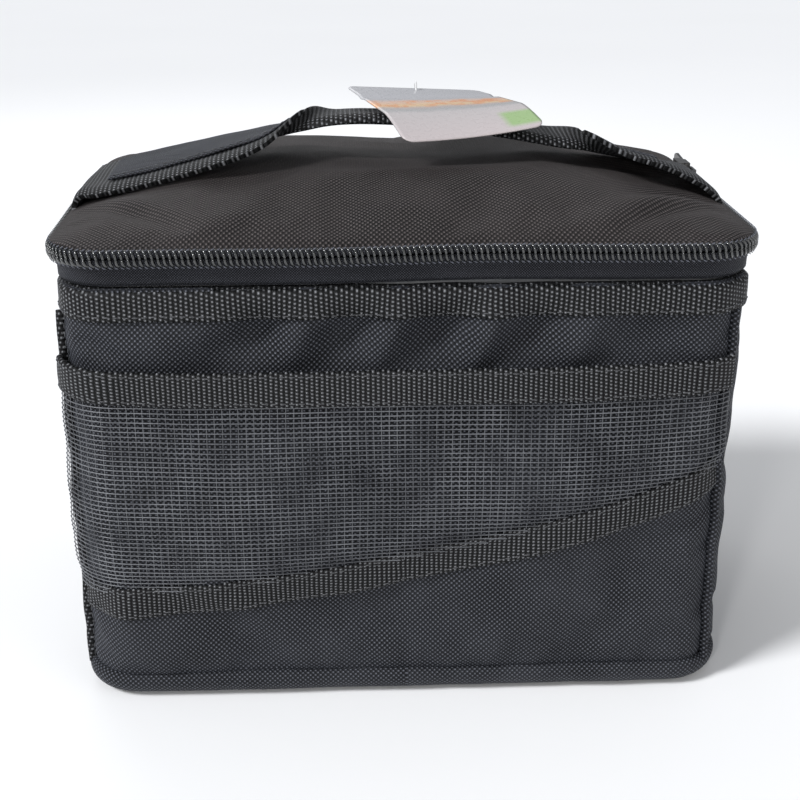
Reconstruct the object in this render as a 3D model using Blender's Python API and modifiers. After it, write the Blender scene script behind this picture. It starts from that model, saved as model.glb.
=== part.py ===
"""Insulated food carrier: a soft zip-top cooler bag with a webbing handle and a mesh front pocket.

Metres, +Z up. The origin is the middle of the flat base, and the pocket side faces -Y.
The walls, the bottom and the lid are three layers each: outer fabric, foam and liner.
"""

import math

import bmesh
import bpy
from mathutils import Matrix, Vector

MM = 0.001
GAP = 0.3 * MM

# Body
HALF_W = 120.5 * MM
HALF_D = 82 * MM
CORNER_R = 20 * MM
WALL_TOP = 162 * MM
FABRIC = 0.8 * MM
FOAM = 5.0 * MM
LINER = 0.6 * MM
FOAM_INSET = 1.6 * MM
LINER_INSET = FOAM_INSET + FOAM + GAP
INNER_FACE = LINER_INSET + LINER
FOAM_TOP = 165.7 * MM

# Bottom panel, a shallow tray whose edge is seamed to the walls
TRAY = 1.2 * MM
TRAY_FILLET = 6.0 * MM
TRAY_TOP = 9.5 * MM
FLOOR_FOAM_TOP = TRAY + GAP + FOAM
FLOOR_LINER_TOP = FLOOR_FOAM_TOP + GAP + LINER

# Webbing and the zip round the rim
WEBBING = 12.5 * MM
WEBBING_T = 1.5 * MM
RIM_WEBBING_LOW = 149.5 * MM
TAPE = 0.7 * MM
COIL_R = 1.3 * MM
COIL_OUT = GAP + TAPE + GAP + COIL_R
ZIP_Z = 172.3 * MM
COIL_GAP = 0.2 * MM
ZIP_END_Y = 58 * MM

# Lid, crowned, with its hinge along the rear seam
LID_OUT = 2.5 * MM
LID_EDGE_Z = 178.2 * MM
LID_CROWN = 7.0 * MM
LID_FABRIC = 0.9 * MM
HINGE_Y = 84.6 * MM
HINGE_Z = 171.8 * MM

# Front pocket
POCKET_HALF = 113.5 * MM
POCKET_TOP = 134.0 * MM
POCKET_BULGE = 8.0 * MM
MESH_T = 0.8 * MM
BINDING_T = 2.0 * MM

# Handle: a wide webbing strap over the lid, doubled up and narrower along the grip.
# Each row is a place across the bag, then the height and depth of the strap's front and rear edges
# and its thickness, in millimetres: x, front y, front z, rear y, rear z, thickness.
STRAP_ROWS = (
    (-120.1, -33.0, 179.6, 20.0, 179.6, 3.0),
    (-119.1, -33.0, 182.4, 20.0, 184.2, 3.0),
    (-111.0, -33.5, 184.0, 19.0, 188.0, 3.0),
    (-84.0, -32.0, 190.0, 18.0, 194.4, 3.0),
    (-64.0, -29.0, 195.8, 16.0, 198.8, 3.0),
    (-46.0, -24.0, 198.4, 14.0, 199.8, 3.2),
    (-34.0, -16.0, 202.5, 9.5, 200.1, 4.8),
    (-18.0, -15.0, 204.5, 9.0, 201.1, 5.0),
    (10.0, -15.0, 203.7, 9.0, 200.3, 5.0),
    (40.0, -15.0, 200.9, 9.0, 197.9, 5.0),
    (66.0, -15.5, 198.0, 9.5, 195.8, 4.8),
    (80.0, -20.5, 195.8, 17.5, 194.4, 3.2),
    (97.0, -26.0, 190.6, 20.0, 189.8, 3.0),
    (112.0, -29.0, 186.2, 20.0, 186.0, 3.0),
    (119.1, -30.0, 182.6, 20.0, 182.6, 3.0),
    (120.1, -30.0, 179.6, 20.0, 179.6, 3.0),
)
STRAP_STEPS = 4
LEFT_SPLIT = 4
RIGHT_SPLIT = 11
FACING_ROWS = (2, 5)
RIGHT_FACING_END = 13
FACING_T = 0.6 * MM
FACING_MARGIN = 6 * MM
SWING_Y = -5 * MM
SWING_Z = 181 * MM

# Zip slider and its puller on the right side
SLIDER_Y = 51.5 * MM
SLIDER_LENGTH = 11 * MM
SLIDER_GAP = 0.4 * MM
SLIDER_WALL = 1.2 * MM
PULLER_LENGTH = 24 * MM
PULLER_T = 1.2 * MM

# Hang tag, held at its rear edge by a nylon loop round the grip
TAG_W = 57 * MM
TAG_L = 61 * MM
TAG_T = 0.5 * MM
TAG_HOLE = 2.2 * MM
TAG_MARGIN = 4.0 * MM
TAG_PIVOT = Vector((8.5 * MM, 25 * MM, 210.9 * MM))
TAG_TURN = math.radians(20)
TAG_SLOPE = math.radians(3.6)
FASTENER_R = 0.4 * MM
FASTENER_LOOP = (
    (25, 210.9), (24.4, 208.9), (10, 206.3), (-6, 206.9), (-14, 207.4), (-17.8, 205.5), (-18.2, 202),
    (-13, 198.1), (0, 195.5), (12, 194.5), (22, 196.5), (29, 202.5), (31.5, 208), (31, 211.9), (28.5, 213.5),
    (25.8, 212.9),
)


def clear_scene():
    for existing in list(bpy.data.objects):
        bpy.data.objects.remove(existing)


def collection_named(name):
    made = bpy.data.collections.new(name)
    bpy.context.scene.collection.children.link(made)
    return made


def material(name, color, roughness, metallic=0.0):
    made = bpy.data.materials.new(name)
    made.use_nodes = True
    shader = made.node_tree.nodes["Principled BSDF"]
    shader.inputs["Base Color"].default_value = (*color, 1)
    shader.inputs["Roughness"].default_value = roughness
    shader.inputs["Metallic"].default_value = metallic
    return made


clear_scene()
PARTS = collection_named("insulated_food_carrier")
CUTTERS = collection_named("cutters")
SHELL = material("shell_fabric", (0.022, 0.023, 0.028), 0.8)
FOAM_GREY = material("foam", (0.72, 0.72, 0.70), 0.9)
SILVER = material("liner", (0.62, 0.63, 0.65), 0.35)
WEB = material("webbing", (0.02, 0.02, 0.022), 0.7)
MESH = material("pocket_mesh", (0.015, 0.016, 0.018), 0.6)
TAPE_BLACK = material("zip_tape", (0.012, 0.013, 0.018), 0.75)
NYLON = material("zip_coil", (0.02, 0.021, 0.022), 0.3)
METAL = material("slider_metal", (0.03, 0.03, 0.032), 0.35, 0.8)
CARD = material("tag_card", (0.72, 0.71, 0.70), 0.5)
CLEAR = material("tag_fastener", (0.8, 0.8, 0.8), 0.4)


def add_object(name, data, finish, pivot=None):
    made = bpy.data.objects.new(name, data)
    data.materials.append(finish)
    PARTS.objects.link(made)
    if pivot is not None:
        made.parent = pivot
        made.matrix_parent_inverse = pivot.matrix_world.inverted()
    return made


def pivot_at(name, place, parent=None):
    made = bpy.data.objects.new(name, None)
    PARTS.objects.link(made)
    made.matrix_world = Matrix.Translation(place)
    if parent is not None:
        made.parent = parent
        made.matrix_parent_inverse = parent.matrix_world.inverted()
    bpy.context.view_layer.update()
    return made


def mesh_from(name, build):
    work = bmesh.new()
    build(work)
    data = bpy.data.meshes.new(name)
    work.to_mesh(data)
    work.free()
    return data


def solidify(obj, thickness, outward=False):
    shell = obj.modifiers.new("thickness", "SOLIDIFY")
    shell.thickness = thickness
    shell.offset = 1 if outward else -1
    shell.use_even_offset = True


def union(obj, other):
    other.hide_render = True
    other.display_type = "WIRE"
    joined = obj.modifiers.new("join", "BOOLEAN")
    joined.operation = "UNION"
    joined.solver = "MANIFOLD"
    joined.object = other


def box_mesh(name, low, high):
    size, middle = Vector(high) - Vector(low), (Vector(high) + Vector(low)) / 2
    place = Matrix.Translation(middle) @ Matrix.Diagonal((*size, 1))
    return mesh_from(name, lambda work: bmesh.ops.create_cube(work, size=1, matrix=place))


# Plan outline of the body, a rounded rectangle

CORNERS = ((1, -1, -90), (1, 1, 0), (-1, 1, 90), (-1, -1, 180))
ARC_STEPS = 6


def corner_arc(corner, out, start=0.0, stop=90.0, steps=ARC_STEPS):
    """Points along one corner of the outline moved outwards by out, counter-clockwise from above."""
    sx, sy, first = CORNERS[corner]
    centre = Vector((sx * (HALF_W - CORNER_R), sy * (HALF_D - CORNER_R)))
    points = []
    for i in range(steps + 1):
        angle = math.radians(first + start + (stop - start) * i / steps)
        points.append(centre + (CORNER_R + out) * Vector((math.cos(angle), math.sin(angle))))
    return points


def closed_outline(out):
    return [p for corner in range(4) for p in corner_arc(corner, out)]


def wall_outline(side, out, thickness):
    """One wall's line, from near the middle of one corner to the next. Side 0 is the front.

    The ends stop short so that layers of this thickness, whose ends are square, stay clear of each other.
    """
    clear = GAP / 2 + thickness * math.tan(math.radians(7.5))
    trim = math.degrees(clear / (CORNER_R + out - thickness))
    before = corner_arc((side - 1) % 4, out, 45 + trim, 90, 3)
    return before + corner_arc(side, out, 0, 45 - trim, 3)


def rear_opening_outline(out, right_end, left_end):
    """Three sides of the outline, from the rear of the left side round the front to the rear of the right."""
    left, right = Vector((-HALF_W - out, left_end)), Vector((HALF_W + out, right_end))
    return [left] + corner_arc(3, out) + corner_arc(0, out) + [right]


def strip(name, line, low, high, thickness, finish, closed=False, pivot=None):
    """A band standing on a plan line, whose outer face is on the line."""

    def build(work):
        lower = [work.verts.new((p.x, p.y, low)) for p in line]
        upper = [work.verts.new((p.x, p.y, high)) for p in line]
        for i in range(len(line) if closed else len(line) - 1):
            j = (i + 1) % len(line)
            work.faces.new((lower[i], lower[j], upper[j], upper[i]))

    made = add_object(name, mesh_from(name, build), finish, pivot)
    solidify(made, thickness)
    return made


# Walls

SIDES = ("front", "right", "back", "left")


def build_walls():
    for side, label in enumerate(SIDES):
        panel = f"{label}_panel" if side % 2 == 0 else f"{label}_side_panel"
        strip(panel, wall_outline(side, 0, FABRIC), TRAY_TOP + GAP, WALL_TOP, FABRIC, SHELL)
        low = FLOOR_FOAM_TOP + GAP
        foam, liner = wall_outline(side, -FOAM_INSET, FOAM), wall_outline(side, -LINER_INSET, LINER)
        strip(f"{label}_foam", foam, low, FOAM_TOP, FOAM, FOAM_GREY)
        strip(f"{label}_liner", liner, low, FOAM_TOP, LINER, SILVER)
    top = FOAM_TOP + GAP
    strip("wall_top_binding", closed_outline(-GAP), top, top + FABRIC, INNER_FACE - GAP, TAPE_BLACK, True)


def build_seam_cords():
    """A rolled seam stands at each corner, between a wall and its neighbour."""
    radius = 1.3 * MM
    low, high = TRAY_TOP + GAP, RIM_WEBBING_LOW - GAP
    for corner, label in enumerate(("front_right", "back_right", "back_left", "front_left")):
        middle = corner_arc(corner, radius + GAP, 45, 45, 1)[0]
        place = Matrix.Translation((middle.x, middle.y, (low + high) / 2))
        data = mesh_from(
            label,
            lambda work, place=place: bmesh.ops.create_cone(
                work, cap_ends=True, segments=10, radius1=radius, radius2=radius, depth=high - low, matrix=place
            ),
        )
        add_object(f"{label}_seam", data, SHELL)


# Bottom

def build_bottom():
    def tray(work):
        profile = [(-TRAY_FILLET, 0.0)]
        for step in range(1, 5):
            angle = math.radians(22.5 * step)
            rise = TRAY_FILLET * (1 - math.cos(angle))
            profile.append((-TRAY_FILLET * (1 - math.sin(angle)), rise))
        profile.append((0.0, TRAY_TOP))
        loops = [[work.verts.new((p.x, p.y, z)) for p in closed_outline(out)] for out, z in profile]
        work.faces.new(reversed(loops[0]))
        for lower, upper in zip(loops, loops[1:]):
            for i in range(len(lower)):
                j = (i + 1) % len(lower)
                work.faces.new((lower[i], lower[j], upper[j], upper[i]))

    solidify(add_object("bottom_panel", mesh_from("bottom_panel", tray), SHELL), TRAY)
    inset = TRAY_FILLET - 1 * MM
    flat_plate("bottom_foam", closed_outline(-inset), TRAY + GAP, FLOOR_FOAM_TOP, FOAM_GREY)
    flat_plate("bottom_liner", closed_outline(-INNER_FACE - GAP), FLOOR_FOAM_TOP + GAP, FLOOR_LINER_TOP, SILVER)


def flat_plate(name, line, low, high, finish):
    def build(work):
        work.faces.new([work.verts.new((p.x, p.y, high)) for p in line])

    solidify(add_object(name, mesh_from(name, build), finish), high - low)


# Webbing, tapes and coils round the rim

def tube(name, points, radius, finish, closed=False, pivot=None):
    data = bpy.data.curves.new(name, "CURVE")
    data.dimensions = "3D"
    data.bevel_depth = radius
    data.bevel_resolution = 2
    data.use_fill_caps = not closed
    line = data.splines.new("POLY")
    line.points.add(len(points) - 1)
    for target, place in zip(line.points, points):
        target.co = (*place, 1)
    line.use_cyclic_u = closed
    return add_object(name, data, finish, pivot)


def build_rim(lid):
    webbing_out = GAP + WEBBING_T
    webbing_top = RIM_WEBBING_LOW + WEBBING
    strip("rim_webbing", closed_outline(webbing_out), RIM_WEBBING_LOW, webbing_top, WEBBING_T, WEB, True)

    tape_out = GAP + TAPE
    tape_low = webbing_top + GAP
    lower_coil_z = ZIP_Z - COIL_GAP / 2 - COIL_R
    upper_coil_z = ZIP_Z + COIL_GAP / 2 + COIL_R
    lid_underside = LID_EDGE_Z - LID_FABRIC
    strip(
        "lower_zip_tape", rear_opening_outline(tape_out, ZIP_END_Y, ZIP_END_Y),
        tape_low, ZIP_Z - COIL_R, TAPE, TAPE_BLACK,
    )
    strip(
        "upper_zip_tape", rear_opening_outline(tape_out, ZIP_END_Y, ZIP_END_Y),
        ZIP_Z + COIL_R, lid_underside - GAP, TAPE, TAPE_BLACK, pivot=lid,
    )
    lower = rear_opening_outline(COIL_OUT, ZIP_END_Y, ZIP_END_Y)
    upper = rear_opening_outline(COIL_OUT, SLIDER_Y - SLIDER_LENGTH / 2 - 2 * MM, ZIP_END_Y)
    tube("lower_zip_coil", [(p.x, p.y, lower_coil_z) for p in lower], COIL_R, NYLON)
    tube("upper_zip_coil", [(p.x, p.y, upper_coil_z) for p in upper], COIL_R, NYLON, pivot=lid)

    end_low, end_high = 6.0 * MM, ZIP_Z - COIL_GAP
    for sign, label in ((1, "right"), (-1, "left")):
        near, far = sign * (HALF_W + GAP), sign * (HALF_W + COIL_OUT + COIL_R)
        low = (min(near, far), ZIP_END_Y + GAP, end_high - end_low)
        high = (max(near, far), ZIP_END_Y + GAP + 3 * MM, end_high)
        add_object(f"zip_end_tab_{label}", box_mesh(f"zip_end_tab_{label}", low, high), WEB)

    half = HALF_W - CORNER_R
    rear = [Vector((half, HALF_D + tape_out)), Vector((-half, HALF_D + tape_out))]
    strip("hinge_strip_lower", rear, tape_low, HINGE_Z - 0.2 * MM, TAPE, SHELL)
    strip("hinge_strip_upper", rear, HINGE_Z + 0.2 * MM, lid_underside - GAP, TAPE, SHELL, pivot=lid)


# Lid

def lid_height(x, y):
    """Height of the lid's top face above its edge."""
    across = 1 - abs(x / (HALF_W + LID_OUT)) ** 3
    along = 1 - abs(y / (HALF_D + LID_OUT)) ** 3
    return LID_CROWN * max(across, 0) * max(along, 0)


def crowned_sheet(name, out, drop, thickness, finish, lid):
    """A rounded rectangle that follows the lid's crown, drop below its top face."""
    half_w, half_d, radius = HALF_W + out, HALF_D + out, CORNER_R + out

    def build(work):
        bmesh.ops.create_grid(work, x_segments=14, y_segments=10, size=1)
        for vert in work.verts:
            x, y = vert.co.x * half_w, vert.co.y * half_d
            dx = max(abs(x) - (half_w - radius), 0) / radius
            dy = max(abs(y) - (half_d - radius), 0) / radius
            if dx > 0 and dy > 0:
                x = math.copysign(half_w - radius + radius * dx * math.sqrt(1 - dy * dy / 2), x)
                y = math.copysign(half_d - radius + radius * dy * math.sqrt(1 - dx * dx / 2), y)
            vert.co = (x, y, LID_EDGE_Z + lid_height(x, y) - drop)

    solidify(add_object(name, mesh_from(name, build), finish, lid), thickness)


def build_lid(lid):
    foam_drop = LID_FABRIC + 2 * GAP
    crowned_sheet("lid_top_panel", LID_OUT, 0, LID_FABRIC, SHELL, lid)
    crowned_sheet("lid_foam", -FOAM_INSET, foam_drop, FOAM, FOAM_GREY, lid)
    crowned_sheet("lid_liner", -FOAM_INSET, foam_drop + FOAM + 2 * GAP, LINER, SILVER, lid)
    top = LID_EDGE_Z - LID_FABRIC - GAP
    strip("lid_seam_binding", closed_outline(-GAP), top - 5 * MM, top, FABRIC, TAPE_BLACK, True, lid)


# Front pocket

def front_point(along, out):
    """A point on the front wall, by its distance along the wall from the middle, moved outwards by out."""
    flat = HALF_W - CORNER_R
    if abs(along) <= flat:
        return Vector((along, -HALF_D - out))
    angle = (abs(along) - flat) / CORNER_R
    x = flat + (CORNER_R + out) * math.sin(angle)
    return Vector((math.copysign(x, along), -(HALF_D - CORNER_R) - (CORNER_R + out) * math.cos(angle)))


def diagonal_z(along):
    """Middle height of the webbing over the pocket's bottom seam: low on the left, high on the right."""
    return 54.6 * MM + 0.206 * along + 0.793 * along * along


def pocket_bulge(along):
    return POCKET_BULGE * (1 - (along / POCKET_HALF) ** 4)


def front_stations():
    """Places along the front wall from one side of the pocket to the other, closer together at the corners."""
    flat = HALF_W - CORNER_R
    bend = [flat + CORNER_R * math.radians(15 * step) for step in (1, 2)] + [POCKET_HALF]
    return [-a for a in reversed(bend)] + [flat * (i / 10 - 1) for i in range(21)] + bend


def front_sheet(name, low, high, out, thickness, finish, rows):
    stations = front_stations()

    def build(work):
        grid = []
        for along in stations:
            column = []
            for j in range(rows + 1):
                share = j / rows
                place = front_point(along, out(along, share))
                column.append(work.verts.new((place.x, place.y, low(along) + share * (high(along) - low(along)))))
            grid.append(column)
        for i in range(len(stations) - 1):
            for j in range(rows):
                work.faces.new((grid[i][j], grid[i + 1][j], grid[i + 1][j + 1], grid[i][j + 1]))

    solidify(add_object(name, mesh_from(name, build), finish), thickness)


def build_pocket():
    binding_low = POCKET_TOP - WEBBING
    half_web = WEBBING / 2
    front_sheet(
        "pocket_bottom_webbing", lambda a: diagonal_z(a) - half_web, lambda a: diagonal_z(a) + half_web,
        lambda a, share: GAP + WEBBING_T, WEBBING_T, WEB, 1,
    )
    front_sheet(
        "pocket_mesh", lambda a: diagonal_z(a) + half_web + GAP, lambda a: binding_low - GAP,
        lambda a, share: GAP + MESH_T + pocket_bulge(a) * math.sin(share * math.pi / 2), MESH_T, MESH, 4,
    )
    front_sheet(
        "pocket_top_binding", lambda a: binding_low, lambda a: POCKET_TOP,
        lambda a, share: GAP + BINDING_T + pocket_bulge(a), BINDING_T, WEB, 1,
    )


# Handle

def strap_line(first, last):
    """The strap's rows between two of STRAP_ROWS, with smooth rows between them, in metres."""
    rows = [[value * MM for value in row] for row in STRAP_ROWS]
    line = []
    for i in range(first, last):
        before, a, b, after = rows[max(i - 1, 0)], rows[i], rows[i + 1], rows[min(i + 2, len(rows) - 1)]
        for k in range(STRAP_STEPS):
            t = k / STRAP_STEPS
            line.append([
                0.5 * (2 * q + (r - p) * t + (2 * p - 5 * q + 4 * r - s) * t**2 + (3 * q - p - 3 * r + s) * t**3)
                for p, q, r, s in zip(before, a, b, after)
            ])
    line.append(rows[last])
    return line


def strap_frames(first, last):
    """Middle, width direction, half width, up direction and thickness along the strap.

    Where the strap is split, its end face is square to X, so that it can swing past its neighbour.
    """
    ends = {0: first > 0, (last - first) * STRAP_STEPS: last < len(STRAP_ROWS) - 1}
    line = strap_line(first, last)
    edges = [(Vector((x, fy, fz)), Vector((x, ry, rz)), t) for x, fy, fz, ry, rz, t in line]
    middles = [(front + rear) / 2 for front, rear, t in edges]
    frames = []
    for i, (front, rear, thickness) in enumerate(edges):
        along = middles[min(i + 1, len(edges) - 1)] - middles[max(i - 1, 0)]
        width = rear - front
        up = along.cross(width)
        if ends.get(i):
            up.x = 0
        frames.append((middles[i], width.normalized(), width.length / 2, up.normalized(), thickness))
    return frames


def loft(name, rings, finish, pivot):
    """A solid through closed rings of points, with a flat face at each end."""

    def build(work):
        loops = [[work.verts.new(point) for point in ring] for ring in rings]
        work.faces.new(loops[0])
        work.faces.new(reversed(loops[-1]))
        for a, b in zip(loops, loops[1:]):
            for i in range(len(a)):
                j = (i + 1) % len(a)
                work.faces.new((a[j], a[i], b[i], b[j]))
        bmesh.ops.recalc_face_normals(work, faces=work.faces)

    return add_object(name, mesh_from(name, build), finish, pivot)


def strap_piece(name, first, last, pivot, shorten=(0.0, 0.0)):
    """The strap as a solid with chamfered edges. shorten leaves a gap at each end, along X."""
    rings = []
    frames = strap_frames(first, last)
    for i, (middle, width, half, up, thickness) in enumerate(frames):
        half_t = thickness / 2
        move = Vector((shorten[0] if i == 0 else -shorten[1] if i == len(frames) - 1 else 0, 0, 0))
        section = (
            (-half + half_t, -half_t), (half - half_t, -half_t), (half, -half_t / 2), (half, half_t / 2),
            (half - half_t, half_t), (-half + half_t, half_t), (-half, half_t / 2), (-half, -half_t / 2),
        )
        rings.append([middle + move + width * w + up * h for w, h in section])
    loft(name, rings, WEB, pivot)


def facing_piece(name, first, last, pivot, shorten=(0.0, 0.0)):
    """The fabric facing sewn on top of the strap, narrower than it by a margin at each edge."""
    rings = []
    frames = strap_frames(first, last)
    for i, (middle, width, half, up, thickness) in enumerate(frames):
        low = thickness / 2 + GAP
        reach = half - FACING_MARGIN
        move = Vector((shorten[0] if i == 0 else -shorten[1] if i == len(frames) - 1 else 0, 0, 0))
        section = ((-reach, low), (reach, low), (reach, low + FACING_T), (-reach, low + FACING_T))
        rings.append([middle + move + width * w + up * h for w, h in section])
    loft(name, rings, SHELL, pivot)


def build_handle(lid, handle):
    last = len(STRAP_ROWS) - 1
    strap_piece("handle_end_left", 0, LEFT_SPLIT, lid, (0, GAP))
    strap_piece("handle_webbing", LEFT_SPLIT, RIGHT_SPLIT, handle)
    strap_piece("handle_end_right", RIGHT_SPLIT, last, lid, (GAP, 0))
    facing_piece("handle_facing_left_end", FACING_ROWS[0], LEFT_SPLIT, lid, (0, GAP))
    facing_piece("handle_facing_left", LEFT_SPLIT, FACING_ROWS[1], handle)
    facing_piece("handle_facing_right_end", RIGHT_SPLIT, RIGHT_FACING_END, lid, (GAP, 0))


# Zip slider and puller

def outline_solid(name, outlines, thickness, place, finish, pivot):
    """A flat plate from closed outlines, the first the outside and the rest holes, in the plane of place."""
    data = bpy.data.curves.new(name, "CURVE")
    data.dimensions = "2D"
    data.fill_mode = "BOTH"
    data.extrude = thickness / 2
    for outline in outlines:
        line = data.splines.new("POLY")
        line.points.add(len(outline) - 1)
        for target, (u, v) in zip(line.points, outline):
            target.co = (u, v, 0, 1)
        line.use_cyclic_u = True
    curve = bpy.data.objects.new(name, data)
    PARTS.objects.link(curve)
    bpy.context.view_layer.update()
    solid = bpy.data.meshes.new_from_object(curve.evaluated_get(bpy.context.evaluated_depsgraph_get()))
    bpy.data.objects.remove(curve)
    work = bmesh.new()
    work.from_mesh(solid)
    bmesh.ops.remove_doubles(work, verts=work.verts, dist=0.00001)
    work.transform(place)
    work.to_mesh(solid)
    work.free()
    solid.name = name
    return add_object(name, solid, finish, pivot)


def round_slot(centre, half_length, half_width, steps=6):
    """A slot outline with round ends, along u."""
    points = []
    for side in (1, -1):
        for i in range(steps + 1):
            angle = math.radians(-90 + 180 * i / steps) + (0 if side > 0 else math.pi)
            u = centre + side * (half_length - half_width) + half_width * math.cos(angle)
            points.append((u, half_width * math.sin(angle)))
    return points


def build_slider(slider, puller):
    inner = HALF_W + GAP + TAPE + 0.5 * MM
    plate_in = HALF_W + COIL_OUT + COIL_R + SLIDER_GAP
    plate_out = plate_in + SLIDER_WALL
    half_z = 2 * COIL_R + COIL_GAP / 2 + SLIDER_GAP
    wall = 1.1 * MM
    channel = [
        (inner, -half_z - wall), (plate_out, -half_z - wall), (plate_out, half_z + wall), (inner, half_z + wall),
        (inner, half_z), (plate_in, half_z), (plate_in, -half_z), (inner, -half_z),
    ]
    facing_y = Matrix.Translation((0, SLIDER_Y, ZIP_Z)) @ Matrix.Rotation(math.radians(90), 4, "X")
    body = outline_solid("zip_slider", [channel], SLIDER_LENGTH, facing_y, METAL, slider)

    inner_face, outer_face = plate_out + 2.9 * MM, plate_out + 4.1 * MM
    reach, leg = 4.0 * MM, 1.2 * MM
    bridge = [
        (plate_out - 0.3 * MM, -reach - leg), (outer_face - leg, -reach - leg), (outer_face, -reach),
        (outer_face, reach), (outer_face - leg, reach + leg), (plate_out - 0.3 * MM, reach + leg),
        (plate_out - 0.3 * MM, reach), (inner_face, reach), (inner_face, -reach), (plate_out - 0.3 * MM, -reach),
    ]
    facing_z = Matrix.Translation((0, SLIDER_Y, ZIP_Z))
    crown = outline_solid("slider_crown", [bridge], 1.6 * MM, facing_z, METAL, slider)
    PARTS.objects.unlink(crown)
    CUTTERS.objects.link(crown)
    union(body, crown)

    pin = plate_out + 1.4 * MM
    tab_end = PULLER_LENGTH
    outer = [
        (-1.0 * MM, -3.2 * MM), (8 * MM, -3.2 * MM), (11 * MM, -2.6 * MM), (tab_end - 3 * MM, -3.4 * MM),
        (tab_end - 0.8 * MM, -2.6 * MM), (tab_end, 0), (tab_end - 0.8 * MM, 2.6 * MM),
        (tab_end - 3 * MM, 3.4 * MM), (11 * MM, 2.6 * MM), (8 * MM, 3.2 * MM), (-1.0 * MM, 3.2 * MM),
    ]
    hole = [(0.8 * MM, -1.7 * MM), (6.8 * MM, -1.7 * MM), (6.8 * MM, 1.7 * MM), (0.8 * MM, 1.7 * MM)]
    grip_slot = round_slot(17 * MM, 3.5 * MM, 1.2 * MM)
    axes = Matrix(((0, 0, 1, pin), (1, 0, 0, SLIDER_Y), (0, 1, 0, ZIP_Z), (0, 0, 0, 1)))
    outline_solid("zip_puller", [outer, hole, grip_slot], PULLER_T, axes, METAL, puller)


# Hang tag

def tag_frame():
    """The card's own axes: u across it, v from its hole towards its front edge, w up."""
    turn = Matrix.Rotation(TAG_TURN, 4, "Z")
    slope = Matrix.Rotation(TAG_SLOPE, 4, "X")
    return Matrix.Translation(TAG_PIVOT) @ turn @ slope


def build_tag(handle, tag):
    corner, left = 4 * MM, TAG_W / 2
    rear, front = TAG_MARGIN, TAG_MARGIN - TAG_L
    outline = []
    for sx, sy, first in ((1, front, -90), (1, rear, 0), (-1, rear, 90), (-1, front, 180)):
        inward = corner if sy == front else -corner
        for i in range(5):
            angle = math.radians(first + 22.5 * i)
            u = sx * (left - corner) + corner * math.cos(angle)
            outline.append((u, sy + inward + corner * math.sin(angle)))
    hole = [
        (TAG_HOLE * math.cos(math.radians(30 * i)), TAG_HOLE * math.sin(math.radians(30 * i))) for i in range(12)
    ]
    outline_solid("hang_tag", [outline, hole], TAG_T, tag_frame(), CARD, tag)

    loop = [(TAG_PIVOT.x, y * MM, z * MM) for y, z in FASTENER_LOOP]
    tube("tag_fastener", loop, FASTENER_R, CLEAR, True, handle)


def build():
    lid = pivot_at("lid_hinge", (0, HINGE_Y, HINGE_Z))
    handle = pivot_at("handle_pivot", (0, SWING_Y, SWING_Z), lid)
    tag = pivot_at("tag_pivot", TAG_PIVOT, handle)
    slider = pivot_at("slider_run", (HALF_W + COIL_OUT, SLIDER_Y, ZIP_Z))
    pin_x = HALF_W + COIL_OUT + COIL_R + SLIDER_GAP + SLIDER_WALL + 1.4 * MM
    puller = pivot_at("puller_pin", (pin_x, SLIDER_Y, ZIP_Z), slider)
    build_walls()
    build_seam_cords()
    build_bottom()
    build_rim(lid)
    build_lid(lid)
    build_pocket()
    build_handle(lid, handle)
    build_slider(slider, puller)
    build_tag(handle, tag)


build()
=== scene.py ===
"""Looks of the insulated food carrier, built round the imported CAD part.

Metres, +Z up, the pocket side faces -Y. Places on the body are given by s, the distance round the walls
counter-clockwise from the middle of the front, and by z, the height.
"""

import math

import bmesh
import bpy
import numpy as np
from mathutils import Matrix, Vector, noise


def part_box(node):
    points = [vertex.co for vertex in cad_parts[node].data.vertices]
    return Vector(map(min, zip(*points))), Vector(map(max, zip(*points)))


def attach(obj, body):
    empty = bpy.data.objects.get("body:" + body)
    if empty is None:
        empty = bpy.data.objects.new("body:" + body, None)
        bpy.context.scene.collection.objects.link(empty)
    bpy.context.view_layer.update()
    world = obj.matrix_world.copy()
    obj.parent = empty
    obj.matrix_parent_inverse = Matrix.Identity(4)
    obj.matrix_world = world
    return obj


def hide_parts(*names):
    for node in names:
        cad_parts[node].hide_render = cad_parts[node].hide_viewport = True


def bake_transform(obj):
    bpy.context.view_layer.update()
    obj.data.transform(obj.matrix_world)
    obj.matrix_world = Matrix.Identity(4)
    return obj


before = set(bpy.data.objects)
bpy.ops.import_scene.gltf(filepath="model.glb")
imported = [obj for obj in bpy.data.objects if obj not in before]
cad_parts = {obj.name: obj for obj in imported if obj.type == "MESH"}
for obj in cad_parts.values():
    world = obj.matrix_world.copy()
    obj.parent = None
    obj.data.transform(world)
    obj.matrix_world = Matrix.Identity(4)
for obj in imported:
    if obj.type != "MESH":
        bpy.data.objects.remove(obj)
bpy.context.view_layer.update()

MM = 0.001

# Driving dimensions, from the frame

HALF_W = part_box("right_side_panel")[1][0]
HALF_D = -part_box("front_panel")[0][1]
CORNER_R = 20 * MM
FLAT_W = HALF_W - CORNER_R
FLAT_D = HALF_D - CORNER_R
ARC = CORNER_R * math.pi / 2
AROUND = 4 * (FLAT_W + FLAT_D + ARC)

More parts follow.
